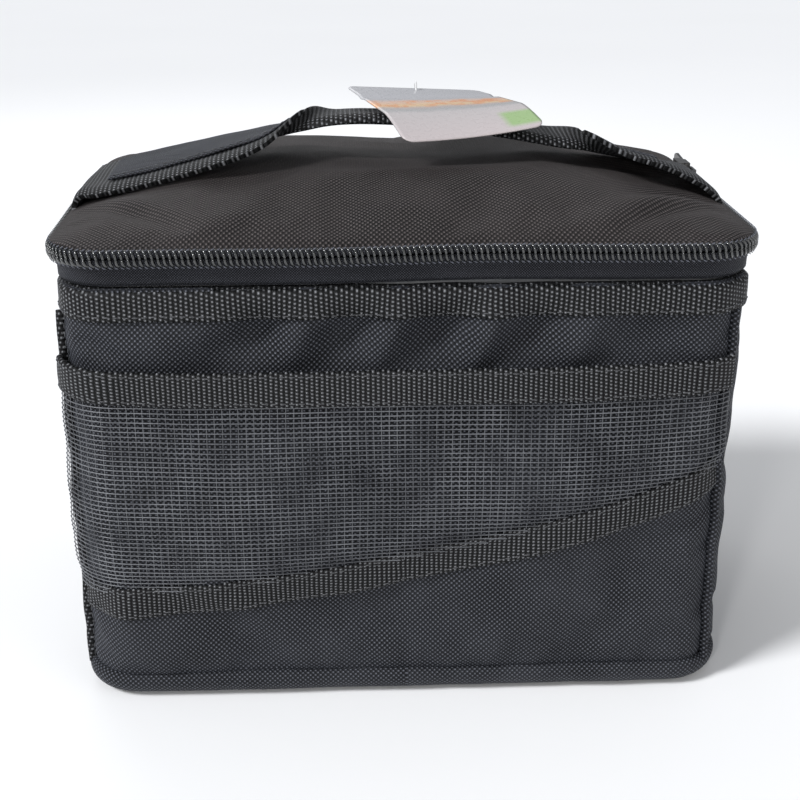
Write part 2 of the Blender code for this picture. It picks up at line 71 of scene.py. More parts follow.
WALL_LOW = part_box("front_panel")[0][2]
WALL_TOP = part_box("front_panel")[1][2]
RIM_LOW, RIM_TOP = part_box("rim_webbing")[0][2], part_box("rim_webbing")[1][2] + 2.2 * MM
BINDING_LOW, BINDING_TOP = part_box("pocket_top_binding")[0][2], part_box("pocket_top_binding")[1][2]
LINING_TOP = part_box("front_foam")[1][2]
FLOOR_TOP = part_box("bottom_liner")[1][2]
LID_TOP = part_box("lid_top_panel")[1][2]
COIL_R = (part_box("upper_zip_coil")[1][2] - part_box("upper_zip_coil")[0][2]) / 2
COIL_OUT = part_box("upper_zip_coil")[1][0] - HALF_W - COIL_R
ZIP_Z = (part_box("upper_zip_coil")[0][2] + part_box("lower_zip_coil")[1][2]) / 2
ZIP_END = FLAT_W + ARC + FLAT_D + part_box("zip_end_tab_right")[0][1]
SLIDER_FRONT = FLAT_W + ARC + FLAT_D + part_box("upper_zip_coil")[1][1]
HINGE_Y = 84.6 * MM
HINGE_Z = 171.8 * MM

WEBBING = 12.5 * MM
WEBBING_T = 1.3 * MM
FABRIC_T = 0.7 * MM
SEAM_S = FLAT_W + ARC / 2
FRONT_LEFT_SEAM = SEAM_S + 10 * MM
POCKET_LEFT, POCKET_RIGHT = -FRONT_LEFT_SEAM + 1.5 * MM, SEAM_S - 1.5 * MM


# Plan outline of the body

def outline(s, out=0.0):
    """Plan position and outward normal at s, on the outline moved outwards by out. Arrays in, arrays out."""
    s = np.mod(np.asarray(s, float), AROUND)
    mirrored = s > AROUND / 2
    t = np.where(mirrored, AROUND - s, s)
    marks = np.cumsum([FLAT_W, ARC, 2 * FLAT_D, ARC])
    turn = (np.clip(t - marks[0], 0, ARC) + np.clip(t - marks[2], 0, ARC)) / CORNER_R
    normal_x, normal_y = np.sin(turn), -np.cos(turn)
    x = np.minimum(t, FLAT_W) + CORNER_R * np.sin(turn) - np.clip(t - marks[3], 0, FLAT_W)
    y = -FLAT_D - CORNER_R * np.cos(turn) + np.clip(t - marks[1], 0, 2 * FLAT_D)
    sign = np.where(mirrored, -1.0, 1.0)
    return sign * (x + normal_x * out), y + normal_y * out, sign * normal_x, normal_y


def hill(value, middle, width):
    return np.exp(-(((value - middle) / width) ** 2))


def arrays(*values):
    return np.broadcast_arrays(*(np.asarray(value, float) for value in values))


def soft_noise(x, y, size, seed):
    """Smooth noise from -1 to 1, with features about size across."""
    flat = [noise.noise(Vector((a / size, b / size, seed * 7.31))) for a, b in zip(np.ravel(x), np.ravel(y))]
    return np.array(flat).reshape(np.shape(x))


def round_noise(s, size, seed):
    """Smooth noise that closes on itself once round the body. size is a share of the body's radius."""
    angle = s / AROUND * 2 * math.pi
    return soft_noise(np.cos(angle), np.sin(angle), size, seed)


def round_corners(x, y, half_x, half_y, radius):
    """Moves the points of a square grid into a rounded rectangle."""
    dx = np.clip(np.abs(x) - (half_x - radius), 0, None) / radius
    dy = np.clip(np.abs(y) - (half_y - radius), 0, None) / radius
    round_x = np.sign(x) * (half_x - radius + radius * dx * np.sqrt(1 - dy * dy / 2))
    round_y = np.sign(y) * (half_y - radius + radius * dy * np.sqrt(1 - dx * dx / 2))
    both = (dx > 0) & (dy > 0)
    return np.where(both, round_x, x), np.where(both, round_y, y)


def lengths_along(path):
    """The distance along path[n, k] to each of its points."""
    return np.concatenate([[0], np.cumsum(np.linalg.norm(np.diff(path, axis=0), axis=1))])


# Meshes from arrays of points

def new_object(name, data):
    made = bpy.data.objects.new(name, data)
    bpy.context.scene.collection.objects.link(made)
    return made


def smooth(mesh):
    mesh.polygons.foreach_set("use_smooth", [True] * len(mesh.polygons))


def grid_object(name, points, weave=None, weld=False, solid=False):
    """A quad grid through points[n, m, 3]. weave[n, m, 2] is the cloth's own position in metres, as a UV map.

    weld joins edges that meet. solid also closes the ends and turns the normals outwards.
    """
    n, m = points.shape[:2]
    i, j = np.meshgrid(np.arange(n - 1), np.arange(m - 1), indexing="ij")
    corner = (i * m + j).ravel()
    faces = np.stack([corner, corner + m, corner + m + 1, corner + 1], axis=1)
    mesh = bpy.data.meshes.new(name)
    mesh.from_pydata(points.reshape(-1, 3).tolist(), [], faces.tolist())
    if weave is not None:
        layer = mesh.uv_layers.new(name="weave")
        layer.data.foreach_set("uv", weave.reshape(-1, 2)[faces.ravel()].ravel())
    if weld or solid:
        work = bmesh.new()
        work.from_mesh(mesh)
        bmesh.ops.remove_doubles(work, verts=work.verts, dist=1e-6)
        if solid:
            ends = [edge for edge in work.edges if edge.is_boundary]
            if ends:
                bmesh.ops.holes_fill(work, edges=ends)
            bmesh.ops.recalc_face_normals(work, faces=work.faces)
        work.to_mesh(mesh)
        work.free()
    smooth(mesh)
    return new_object(name, mesh)


def apply_modifiers(obj):
    """Bakes the modifiers into the mesh."""
    bpy.context.view_layer.update()
    evaluated = obj.evaluated_get(bpy.context.evaluated_depsgraph_get())
    baked = bpy.data.meshes.new_from_object(evaluated)
    obj.modifiers.clear()
    obj.data = baked
    return obj


def thicken(obj, thickness, offset=-1.0):
    shell = obj.modifiers.new("thickness", "SOLIDIFY")
    shell.thickness = thickness
    shell.offset = offset
    return obj


def unit(vectors):
    return vectors / np.linalg.norm(vectors, axis=1)[:, None]


def tube_along(name, path, radius, sides, squash=(1.0, 1.0), up=(0, 0, 1)):
    """A tube along path[n, 3]. squash scales it across and along up."""
    ahead = unit(np.gradient(path, axis=0))
    across = unit(np.cross(ahead, np.asarray(up, float)))
    rise = np.cross(across, ahead)
    angles = np.linspace(0, 2 * math.pi, sides + 1)
    radii = np.broadcast_to(np.asarray(radius, float), (len(path),))
    ring = (
        np.cos(angles)[None, :, None] * across[:, None, :] * squash[0]
        + np.sin(angles)[None, :, None] * rise[:, None, :] * squash[1]
    )
    points = path[:, None, :] + ring * radii[:, None, None]
    girth = angles * np.mean(radii)
    weave = np.stack(np.broadcast_arrays(lengths_along(path)[:, None], girth[None, :]), axis=-1)
    return grid_object(name, points, weave, solid=True)


def scatter(name, template_points, template_faces, places, axes):
    """Copies of one small shape at places[n, 3]. axes[n, 3, 3] holds the shape's own X, Y and Z directions."""
    template = np.asarray(template_points, float)
    points = places[:, None, :] + np.einsum("kc,ncd->nkd", template, axes)
    count = len(template)
    faces = [[v + k * count for v in face] for k in range(len(places)) for face in template_faces]
    mesh = bpy.data.meshes.new(name)
    mesh.from_pydata(points.reshape(-1, 3).tolist(), [], faces)
    smooth(mesh)
    return new_object(name, mesh)


STITCH_SIDES = 6


def stitch_shape(length, radius):
    """A stitch lying along X, thin at both ends where it goes into the cloth."""
    rings = ((-0.5, 0.35, -0.8), (-0.36, 0.9, 0.1), (0.0, 1.0, 0.45), (0.36, 0.9, 0.1), (0.5, 0.35, -0.8))
    points, faces = [], []
    for x, size, rise in rings:
        for k in range(STITCH_SIDES):
            angle = 2 * math.pi * k / STITCH_SIDES
            points.append((
                x * length, size * radius * math.cos(angle), radius * (size * math.sin(angle) * 0.8 + rise),
            ))
    for r in range(len(rings) - 1):
        for k in range(STITCH_SIDES):
            a, b = r * STITCH_SIDES + k, r * STITCH_SIDES + (k + 1) % STITCH_SIDES
            faces.append((a, b, b + STITCH_SIDES, a + STITCH_SIDES))
    return points, faces


STITCH = 2.3 * MM
STITCH_GAP = 0.9 * MM
THREAD_R = 0.24 * MM


def stitches(
    name, place_at, start, end, pitch=STITCH + STITCH_GAP, length=STITCH, radius=THREAD_R, slant=0.0,
):
    """A row of stitches. place_at(t) gives the point and outward normal on the cloth, for t in metres."""
    t = np.arange(start + pitch / 2, end, pitch)
    points, normals = place_at(t)
    ahead = unit(place_at(t + 0.5 * MM)[0] - place_at(t - 0.5 * MM)[0])
    side = unit(np.cross(normals, ahead))
    turned = ahead * math.cos(slant) + side * math.sin(slant)
    axes = np.stack([turned, np.cross(normals, turned), normals], axis=1)
    return scatter(name, *stitch_shape(length, radius), points, axes)


# Cloth simulation

CLOTH_FRAMES = 18
CLOTH_REACH = 4 * MM


def settle(name, points, closes, pinned, swell, push):
    """The grid of points, as cloth that is swell larger than its frame and held where pinned[n, m] is true.

    closes says that the grid's first and last lines meet, and holds both. push is the pressure on its inner
    side. No point moves further than CLOTH_REACH.
    """
    n, m = points.shape[:2]
    sheet = grid_object(name, points)
    held = sheet.vertex_groups.new(name="held")
    held.add([int(k) for k in np.nonzero(pinned.reshape(-1))[0]], 1.0, "REPLACE")
    if closes:
        last = (n - 1) * m
        held.add(list(range(last, last + m)) + list(range(m)), 1.0, "REPLACE")
    cloth = sheet.modifiers.new("cloth", "CLOTH")
    settings = cloth.settings
    settings.quality = 6
    settings.mass = 0.25
    settings.tension_stiffness = 25
    settings.compression_stiffness = 25
    settings.shear_stiffness = 12
    settings.bending_stiffness = 6
    settings.shrink_min = -swell
    settings.vertex_group_mass = "held"
    settings.use_pressure = push != 0
    settings.uniform_pressure_force = push
    settings.effector_weights.gravity = 0
    scene = bpy.context.scene
    for step in range(1, CLOTH_FRAMES + 1):
        scene.frame_set(step)
    moved = sheet.evaluated_get(bpy.context.evaluated_depsgraph_get()).data
    settled = np.empty(n * m * 3)
    moved.vertices.foreach_get("co", settled)
    bpy.data.objects.remove(sheet)
    scene.frame_set(1)
    shift = settled.reshape(n, m, 3) - points
    length = np.linalg.norm(shift, axis=2, keepdims=True)
    return points + shift * np.minimum(1, CLOTH_REACH / np.maximum(length, 1e-9))


# Body walls

WALL_COLUMNS = 192
WALL_ROWS = 44

# Folds of the front wall between the rim and the pocket: middle x and z, half sizes, and rise, in millimetres
FRONT_FOLDS = (
    (-52, 144, 9, 8, -5.6), (-37, 142, 6, 9, 2.6), (-22, 143, 10, 9, -6.4), (-6, 143, 6, 9, 3.0),
    (10, 143, 11, 10, -7.0), (26, 141, 6, 12, 4.0), (43, 144, 9, 8, -4.6), (60, 141, 7, 9, 3.0),
    (-84, 143, 12, 7, 1.4), (84, 141, 12, 8, -1.6),
)
LOW_FOLDS = ((-86, 22, 22, 16, 1.6), (-30, 34, 30, 14, -1.6), (30, 26, 34, 16, 1.2), (78, 40, 26, 20, -1.4))


def wall_softness(s, z):
    """How far the wall stands out from the plan outline."""
    share = np.clip((z - WALL_LOW) / (WALL_TOP - WALL_LOW), 0, 1)
    belly = np.sin(math.pi * share) ** 0.8
    around = np.mod(s + AROUND / 2, AROUND) - AROUND / 2
    front = np.clip(1 - (np.abs(around) / (FLAT_W + ARC / 2)) ** 2, 0, 1)
    back = np.clip(1 - ((AROUND / 2 - np.abs(around)) / (FLAT_W + ARC / 2)) ** 2, 0, 1)
    side_middle = FLAT_W + ARC + FLAT_D
    side = np.clip(1 - ((np.abs(around) - side_middle) / (FLAT_D + ARC / 2)) ** 2, 0, 1)
    out = belly * (1.6 * front + 2.6 * back + 3.2 * side - 0.6) * MM
    for x, height, half_x, half_z, rise in FRONT_FOLDS + LOW_FOLDS:
        lean = 0.35 * (z - height * MM)
        out = out + rise * MM * hill(around - lean, x * MM, half_x * MM) * hill(z, height * MM, half_z * MM)
    edge = np.clip(np.minimum(share, 1 - share) * 8, 0, 1)
    ripple = soft_noise(around, z, 34 * MM, 1) * 1.3 + soft_noise(around, z * 1.3, 15 * MM, 2) * 0.5
    return out + ripple * edge * MM


SEAMS = (
    ("front_right", SEAM_S), ("back_right", AROUND / 2 - SEAM_S), ("back_left", AROUND / 2 + SEAM_S),
    ("front_left", AROUND - FRONT_LEFT_SEAM),
)


def wall_points():
    s = np.linspace(0, AROUND, WALL_COLUMNS + 1)[:, None]
    z = np.linspace(WALL_LOW, WALL_TOP, WALL_ROWS + 1)[None, :]
    s, z = np.broadcast_arrays(s, z)
    seam = sum(hill(s, place, 5 * MM) for _, place in SEAMS)
    x, y, _, _ = outline(s, wall_softness(s, z) - 0.8 * MM * seam)
    points = np.stack([x, y, z], axis=-1)
    pinned = (z <= WALL_LOW + 1e-6) | (z >= RIM_LOW + 2 * MM) | (seam > 0.75)
    return settle("walls_at_work", points, True, pinned, swell=0.008, push=0.6)


WALL = wall_points()
WALL[-1] = WALL[0]


def cubic(values, t):
    """The Catmull-Rom curve through four neighbours, at the fraction of t between the middle two."""
    f = (t - np.floor(t))[:, None]
    a, b, c, d = values
    return 0.5 * (2 * b + (c - a) * f + (2 * a - 5 * b + 4 * c - d) * f**2 + (3 * b - a - 3 * c + d) * f**3)


def wall_surface(s, z):
    """A point on the simulated walls, smooth between the grid's points."""
    s, z = (np.ravel(v).astype(float) for v in np.broadcast_arrays(s, z))
    u = np.mod(s, AROUND) / AROUND * WALL_COLUMNS
    v = np.clip((z - WALL_LOW) / (WALL_TOP - WALL_LOW), 0, 1) * WALL_ROWS
    ku, kv = np.floor(u).astype(int), np.minimum(np.floor(v).astype(int), WALL_ROWS - 1)
    rows = []
    for du in (-1, 0, 1, 2):
        column = np.mod(ku + du, WALL_COLUMNS)
        line = [WALL[column, np.clip(kv + dv, 0, WALL_ROWS)] for dv in (-1, 0, 1, 2)]
        rows.append(cubic(line, v - kv))
    return cubic(rows, u - ku)


def on_wall(s, z, out):
    """Points out from the soft wall, and the wall's normals there."""
    s, z, out = arrays(s, z, out)
    shape = s.shape
    s, z, out = s.ravel(), z.ravel(), out.ravel()
    step = 1.5 * MM
    along = wall_surface(s + step, z) - wall_surface(s - step, z)
    inside = np.clip(z, WALL_LOW + step, WALL_TOP - step)
    up = wall_surface(s, inside + step) - wall_surface(s, inside - step)
    normal = unit(np.cross(along, up))
    base = wall_surface(s, z)
    base[:, 2] += z - np.clip(z, WALL_LOW, WALL_TOP)
    return (base + normal * out[:, None]).reshape(shape + (3,)), normal.reshape(shape + (3,))


TAUT_REACH = 24 * MM


def on_smooth_wall(s, z, out):
    """Like on_wall, but with the wall's small folds evened out along s, as taut webbing lies over them."""
    s, z, out = arrays(s, z, out)
    x, y, nx, ny = outline(s)
    normals = np.stack([nx, ny, np.zeros_like(nx)], axis=-1)
    stand = np.zeros(s.shape)
    shifts = np.linspace(-TAUT_REACH, TAUT_REACH, 9)
    for shift in shifts:
        px, py, qx, qy = outline(s + shift)
        near = wall_surface(s + shift, z).reshape(s.shape + (3,))
        stand += ((near[..., 0] - px) * qx + (near[..., 1] - py) * qy) / len(shifts)
    flat = np.stack([x, y, z], axis=-1)
    return flat + normals * (stand + out)[..., None], normals


# Shader graphs

class Graph:
    """Short ways to build one material's nodes."""

    def __init__(self, name):
        self.material = bpy.data.materials.new(name)
        self.material.use_nodes = True
        self.tree = self.material.node_tree
        self.shader = self.tree.nodes["Principled BSDF"]

    def node(self, kind, inputs=(), **settings):
        made = self.tree.nodes.new(kind)
        for key, value in settings.items():
            setattr(made, key, value)
        for key, value in dict(inputs).items():
            self.feed(made.inputs[key], value)
        return made

    def feed(self, socket, value):
        if isinstance(value, bpy.types.NodeSocket):
            self.tree.links.new(value, socket)
        else:
            socket.default_value = value

    def math(self, operation, a, b=0.0):
        return self.node("ShaderNodeMath", {0: a, 1: b}, operation=operation).outputs[0]

    def in_mm(self, vector):
        scaled = self.node("ShaderNodeVectorMath", {0: vector, 1: (1000, 1000, 1000)}, operation="MULTIPLY")
        return scaled.outputs[0]

    def weave(self):
        """The cloth's own position, in millimetres."""
        return self.in_mm(self.node("ShaderNodeUVMap", uv_map="weave").outputs[0])

    def space(self):
        """The piece's own position, in millimetres."""
        return self.in_mm(self.node("ShaderNodeTexCoord").outputs["Object"])

    def split(self, vector):
        made = self.node("ShaderNodeSeparateXYZ", {0: vector})
        return made.outputs[0], made.outputs[1]

    def noise(self, vector, scale, detail=2.0, rough=0.5):
        inputs = {"Vector": vector, "Scale": scale, "Detail": detail, "Roughness": rough}
        return self.node("ShaderNodeTexNoise", inputs).outputs[0]

    def sine(self, value, period):
        return self.math("SINE", self.math("MULTIPLY", value, 2 * math.pi / period))

    def half(self, value):
        """Brings a value from between -1 and 1 to between 0 and 1."""
        return self.node("ShaderNodeMath", {0: value, 1: 0.5, 2: 0.5}, operation="MULTIPLY_ADD").outputs[0]

    def mix(self, share, a, b):
        made = self.node("ShaderNodeMix", data_type="RGBA")
        self.feed(made.inputs[0], share)
        for socket, value in ((made.inputs[6], a), (made.inputs[7], b)):
            if isinstance(value, tuple) and len(value) == 3:
                value = (*value, 1)
            self.feed(socket, value)
        return made.outputs[2]

    def ramp(self, value, *stops):
        """Colour stops as (place, colour)."""
        made = self.node("ShaderNodeValToRGB", {0: value})
        points = made.color_ramp.elements
        while len(points) < len(stops):
            points.new(1.0)
        for point, (place, color) in zip(points, stops):
            point.position = place
            point.color = (*color, 1)
        return made.outputs[0]

    def range(self, value, low, high, to_low=0.0, to_high=1.0):
        inputs = {0: value, 1: low, 2: high, 3: to_low, 4: to_high}
        return self.node("ShaderNodeMapRange", inputs).outputs[0]

    def bump(self, height, strength, distance):
        inputs = {"Height": height, "Strength": strength, "Distance": distance}
        self.feed(self.shader.inputs["Normal"], self.node("ShaderNodeBump", inputs).outputs[0])

    def surface(self, **values):
        names = {
            "color": "Base Color", "roughness": "Roughness", "metallic": "Metallic", "coat": "Coat Weight",
            "sheen": "Sheen Weight", "sheen_roughness": "Sheen Roughness", "sheen_tint": "Sheen Tint",
            "specular": "Specular IOR Level",
        }
        for key, value in values.items():
            if isinstance(value, tuple) and len(value) == 3:
                value = (*value, 1)
            self.feed(self.shader.inputs[names[key]], value)
        return self.material


def oxford(name, dark, light, pitch=1.9, tint=(0.62, 0.68, 0.85)):
    """Coarse plain-weave polyester: a checker of raised threads, each a little different, with painted
    highlight on their crests and painted shade, near black, in the gaps between them.
    """
    g = Graph(name)
    here = g.weave()
    wobble = g.noise(here, 0.25, 2.0)
    u, v = g.split(here)
    u = g.math("ADD", u, g.math("MULTIPLY", wobble, 0.5))
    threads = g.half(g.math("MULTIPLY", g.sine(u, pitch), g.sine(v, pitch)))
    grain = g.noise(here, 1.6, 3.0)
    cloud = g.noise(here, 0.035, 3.0)
    # Painted highlight and shade: the raised thread crests take the light colour, the gaps between them the
    # near-black dark one.
    raised = g.math("MULTIPLY", g.math("POWER", threads, 3.8), g.range(grain, 0.25, 0.75, 0.35, 1.0))
    base = g.mix(raised, dark, light)
    worn = g.mix(g.range(cloud, 0.35, 0.75, 0.0, 0.07), base, light)
    g.bump(g.math("ADD", threads, g.math("MULTIPLY", grain, 0.4)), 0.9, 0.0005)
    return g.surface(color=worn, roughness=g.range(grain, 0.2, 0.8, 0.5, 0.72), specular=0.16,
                     sheen=0.04, sheen_roughness=0.45, sheen_tint=tint)


RIB = 1.75
YARN = 1.25


def webbing(name, dark, light):
    """Woven tape: ribs across it, each broken into short raised stitches of yarn, with painted highlight on
    the yarn and painted shade, near black, between the ribs.
    """
    g = Graph(name)
    here = g.weave()
    u, v = g.split(here)
    u = g.math("ADD", u, g.math("MULTIPLY", g.noise(here, 0.4, 2.0), 0.5))
    ribs = g.half(g.sine(u, RIB))
    offset = g.math("MULTIPLY", g.math("FLOOR", g.math("DIVIDE", u, RIB)), 0.45)
    rows = g.half(g.sine(g.math("ADD", v, offset), YARN))
    breaks = g.range(g.math("POWER", rows, 2.2), 0.0, 1.0, 0.03, 1.0)
    yarn = g.math("MULTIPLY", g.math("POWER", ribs, 2.0), breaks)
    fuzz = g.noise(here, 2.4, 3.0)
    # Painted highlight on the raised yarn, painted shade between the ribs.
    shade = g.math("MULTIPLY", yarn, g.range(fuzz, 0.25, 0.75, 0.5, 1.0))
    color = g.mix(shade, dark, light)
    g.bump(g.math("ADD", yarn, g.math("MULTIPLY", fuzz, 0.3)), 0.9, 0.0005)
    return g.surface(color=color, roughness=g.range(fuzz, 0.2, 0.8, 0.45, 0.7), specular=0.16,
                     sheen=0.02, sheen_roughness=0.4, sheen_tint=(0.8, 0.83, 0.9))


def plastic(name, dark, light, roughness, scale=0.5, coat=0.0):
    """Moulded or extruded nylon with a faint uneven gloss."""
    g = Graph(name)
    blotch = g.noise(g.space(), scale, 3.0)
    color = g.mix(g.range(blotch, 0.3, 0.7), dark, light)
    g.bump(blotch, 0.15, 0.0001)
    return g.surface(color=color, roughness=g.range(blotch, 0.3, 0.7, *roughness), specular=0.55, coat=coat)


def thread(name, dark, light):
    g = Graph(name)
    fuzz = g.noise(g.space(), 1.3, 2.0)
    return g.surface(color=g.mix(g.range(fuzz, 0.3, 0.7), dark, light), roughness=0.5, specular=0.45,
                     sheen=0.2, sheen_tint=(0.8, 0.85, 1.0))


def slider_paint(name):
    """Black enamel over cast zinc, rubbed on its raised edges."""
    g = Graph(name)
    here = g.space()
    blotch = g.noise(here, 0.8, 4.0)
    edge = g.node("ShaderNodeNewGeometry").outputs["Pointiness"]
    worn = g.math("MULTIPLY", g.range(edge, 0.52, 0.62), g.range(blotch, 0.4, 0.6))
    color = g.mix(worn, (0.010, 0.010, 0.011), (0.08, 0.077, 0.073))
    g.bump(blotch, 0.2, 0.0001)
    return g.surface(color=color, roughness=g.range(blotch, 0.3, 0.7, 0.25, 0.42), metallic=0.6, specular=0.5)


def silver_liner(name):
    """Metallised liner film, heat-bonded over foam."""
    g = Graph(name)
    here = g.weave()
    crinkle = g.noise(here, 0.05, 3.0, 0.5)
    fine = g.noise(here, 0.9, 3.0)
    color = g.mix(g.range(crinkle, 0.35, 0.65), (0.50, 0.51, 0.53), (0.62, 0.63, 0.65))
    g.bump(g.math("ADD", crinkle, g.math("MULTIPLY", fine, 0.08)), 0.45, 0.0010)
    roughness = g.range(crinkle, 0.3, 0.7, 0.32, 0.42)
    return g.surface(color=color, roughness=roughness, metallic=0.7, specular=0.5)


def tag_print(name, half_w, length):
    """Glossy card: pale grey, a warm picture band, a pinkish lower part and a green patch."""
    g = Graph(name)
    here = g.weave()
    u, v = g.split(here)
    across = g.range(u, -half_w, half_w)
    down = g.range(v, 0, length)
    blur = g.noise(here, 0.05, 3.0)
    wavy = g.math("ADD", down, g.math("MULTIPLY", blur, 0.10))
    sheet = g.ramp(
        wavy, (0.0, (0.43, 0.43, 0.45)), (0.40, (0.40, 0.40, 0.42)), (0.47, (0.62, 0.42, 0.32)),
        (0.56, (0.66, 0.46, 0.24)), (0.62, (0.42, 0.36, 0.34)), (0.68, (0.36, 0.36, 0.36)),
        (0.74, (0.47, 0.44, 0.44)), (1.0, (0.50, 0.45, 0.45)),
    )
    fruit = g.noise(here, 0.16, 2.0)
    band = g.math("MULTIPLY", g.range(wavy, 0.42, 0.46), g.range(wavy, 0.62, 0.58))
    warm = g.mix(g.math("MULTIPLY", band, g.range(fruit, 0.45, 0.6)), sheet, (0.66, 0.27, 0.10))
    green = g.math("MULTIPLY", g.range(across, 0.74, 0.80), g.range(down, 0.76, 0.80))
    green = g.math("MULTIPLY", green, g.range(down, 0.97, 0.93))
    color = g.mix(green, warm, (0.30, 0.44, 0.20))
    scuff = g.noise(here, 0.4, 3.0)
    g.bump(scuff, 0.03, 0.0001)
    return g.surface(color=color, roughness=g.range(scuff, 0.3, 0.7, 0.22, 0.36), specular=0.5, coat=0.2)


# In the oxford cloths the light colour is painted highlight on the thread crests and the dark one is painted
# shade between them.
SHELL = oxford("shell_fabric", (0.0018, 0.0020, 0.0028), (0.195, 0.205, 0.238))
# The lid's copy of the shell fabric is painted warmer and browner than the walls' copy: a painted warm light
# cast on the top.
LID_SHELL = oxford("lid_fabric", (0.0026, 0.0022, 0.0022), (0.185, 0.160, 0.157), tint=(0.85, 0.78, 0.78))
# In the webbing the light colour is painted highlight on the yarn and the dark one is painted shade between
# the ribs.
WEB = webbing("webbing", (0.0010, 0.0011, 0.0012), (0.36, 0.367, 0.385))
TAPE = oxford("zip_tape", (0.0025, 0.0027, 0.0038), (0.13, 0.135, 0.16), pitch=0.95)
COIL = plastic("zip_coil", (0.006, 0.007, 0.007), (0.016, 0.018, 0.018), (0.2, 0.3), coat=1.0)
NET = plastic("pocket_net", (0.055, 0.057, 0.064), (0.155, 0.161, 0.174), (0.25, 0.4), 0.08)
THREAD = thread("thread", (0.018, 0.018, 0.019), (0.075, 0.076, 0.079))
COIL_THREAD = thread("coil_thread", (0.03, 0.032, 0.04), (0.10, 0.105, 0.13))
LINER = silver_liner("liner")
METAL = slider_paint("slider_metal")
NYLON = plastic("tag_fastener", (0.5, 0.5, 0.5), (0.75, 0.75, 0.75), (0.3, 0.4))


def piece(obj, material, body, slot, *nodes):
    """Gives a piece its material, its body and the CAD nodes that it stands for. slot is not used."""
    obj.data.materials.clear()
    obj.data.materials.append(material)
    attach(obj, body)
    if nodes:
        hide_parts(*nodes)
    return obj


def dress(node_name, material, round_edges=0.0):
    """Keeps a CAD node, with a better material and rounded edges."""
    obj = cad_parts[node_name]
    obj.data.materials.clear()
    obj.data.materials.append(material)
    if round_edges:
        bevel = obj.modifiers.new("rounded", "BEVEL")
        bevel.width = round_edges
        bevel.segments = 3
        bevel.limit_method = "ANGLE"
        bevel.angle_limit = math.radians(35)


def bending_piece(obj, material, slot, bodies, start, end, *nodes):
    """Gives a piece its material, bakes its placement into its mesh and hides the CAD nodes that it stands
    for. bodies, start and end are not used.
    """
    obj.data.materials.append(material)
    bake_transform(obj)
    if nodes:
        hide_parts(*nodes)


# Wall panels and the seams between them

def wall_patch(name, s, z, node_name):
    """A panel of shell fabric on the soft wall, drawn in at its foot. s[n] and z[m] are its lines."""
    s, z = np.meshgrid(s, z, indexing="ij")
    points, _ = on_wall(s, z, -1.2 * MM * hill(z, WALL_LOW, 3 * MM))
    obj = grid_object(name, points, np.stack([s, z], axis=-1))
    apply_modifiers(thicken(obj, FABRIC_T))
    piece(obj, SHELL, "bag", "shell_fabric", node_name)


def build_walls():
    z = np.linspace(WALL_LOW + 0.4 * MM, WALL_TOP, 90)
    places = [-FRONT_LEFT_SEAM] + [place for _, place in SEAMS]
    names = (("front_fabric", "front_panel"), ("right_side_fabric", "right_side_panel"),
             ("back_fabric", "back_panel"), ("left_side_fabric", "left_side_panel"))
    for (name, node_name), start, end in zip(names, places, places[1:]):
        s = np.linspace(start + 0.8 * MM, end - 0.8 * MM, int((end - start) / (1.8 * MM)))
        wall_patch(name, s, z, node_name)


def build_seams():
    """Each corner's seam is bound: a folded strip stands proud of it, with stitches down one side."""
    z = np.arange(WALL_LOW - 1 * MM, RIM_LOW + 1 * MM, 1.6 * MM)
    level = np.zeros_like(z)
    for k, (label, s) in enumerate(SEAMS):
        sway = 0.5 * soft_noise(z, level, 26 * MM, 20 + k) + 0.18 * soft_noise(z, level, 5 * MM, 30 + k)
        path, normals = on_wall(s + sway * MM, z, 0.9 * MM)
        radius = 1.25 * MM * (1 + 0.10 * soft_noise(z, level, 7 * MM, 40 + k))
        cord = tube_along(f"{label}_binding", path, radius, 12, squash=(1.0, 1.45), up=normals[0])
        piece(cord, WEB if label.endswith("left") else SHELL, "bag", "shell_fabric", f"{label}_seam")
        row = stitches(
            f"{label}_stitches", lambda t, s=s: on_wall(s + 2.6 * MM, t, 0.25 * MM),
            WALL_LOW + 2 * MM, RIM_LOW - 1 * MM,
        )
        piece(row, THREAD, "bag", "shell_fabric")


# Bottom: a soft panel rolled up round the walls' lower edge

# Profile of the roll in millimetres out and up, from the seam down and under to the middle of the floor
BOTTOM_ROLL = (
    (-1.6, 10.9), (-0.4, 10.7), (0.9, 9.7), (1.5, 8.0), (1.2, 5.8), (0.0, 3.4), (-2.2, 1.3), (-5.2, 0.25),
    (-9.0, 0.0), (-20.0, 0.15), (-45.0, 0.3), (-81.0, 0.3),
)
ROLL_REACH = 19 * MM
FLOOR_REACH = 63 * MM


def build_bottom():
    s = np.linspace(0, AROUND, 257)
    profile = np.array(BOTTOM_ROLL) * MM
    wave = round_noise(s, 0.11, 5)
    rings = []
    for k, (out, z) in enumerate(profile):
        if out > -ROLL_REACH:
            x, y, _, _ = outline(s, out + 0.7 * MM * wave * (0 < k < 7))
            z = z + np.clip(0.35 * MM * wave, -0.3 * MM, 1) * (k < 6)
        else:
            share = (-out - ROLL_REACH) / FLOOR_REACH
            x, y, _, _ = outline(s, 0.1 * MM - ROLL_REACH)
            x, y = x * (1 - share), y * (1 - share)
        rings.append(np.stack([x, y, np.broadcast_to(z, s.shape)], axis=-1))
    points = np.stack(rings, axis=1)
    points[..., 2] = np.maximum(points[..., 2], 0)
    depth = lengths_along(profile)
    weave = np.stack(np.broadcast_arrays(s[:, None], -depth[None, :]), axis=-1)
    flat = depth > 20 * MM
    weave[:, flat] = points[:, flat, :2]
    obj = grid_object("bottom_fabric", points, weave, weld=True)
    fine = obj.modifiers.new("fine", "SUBSURF")
    fine.levels = fine.render_levels = 1
    apply_modifiers(thicken(obj, FABRIC_T, 1.0))
    piece(obj, SHELL, "bag", "shell_fabric", "bottom_panel")


# Bands of webbing

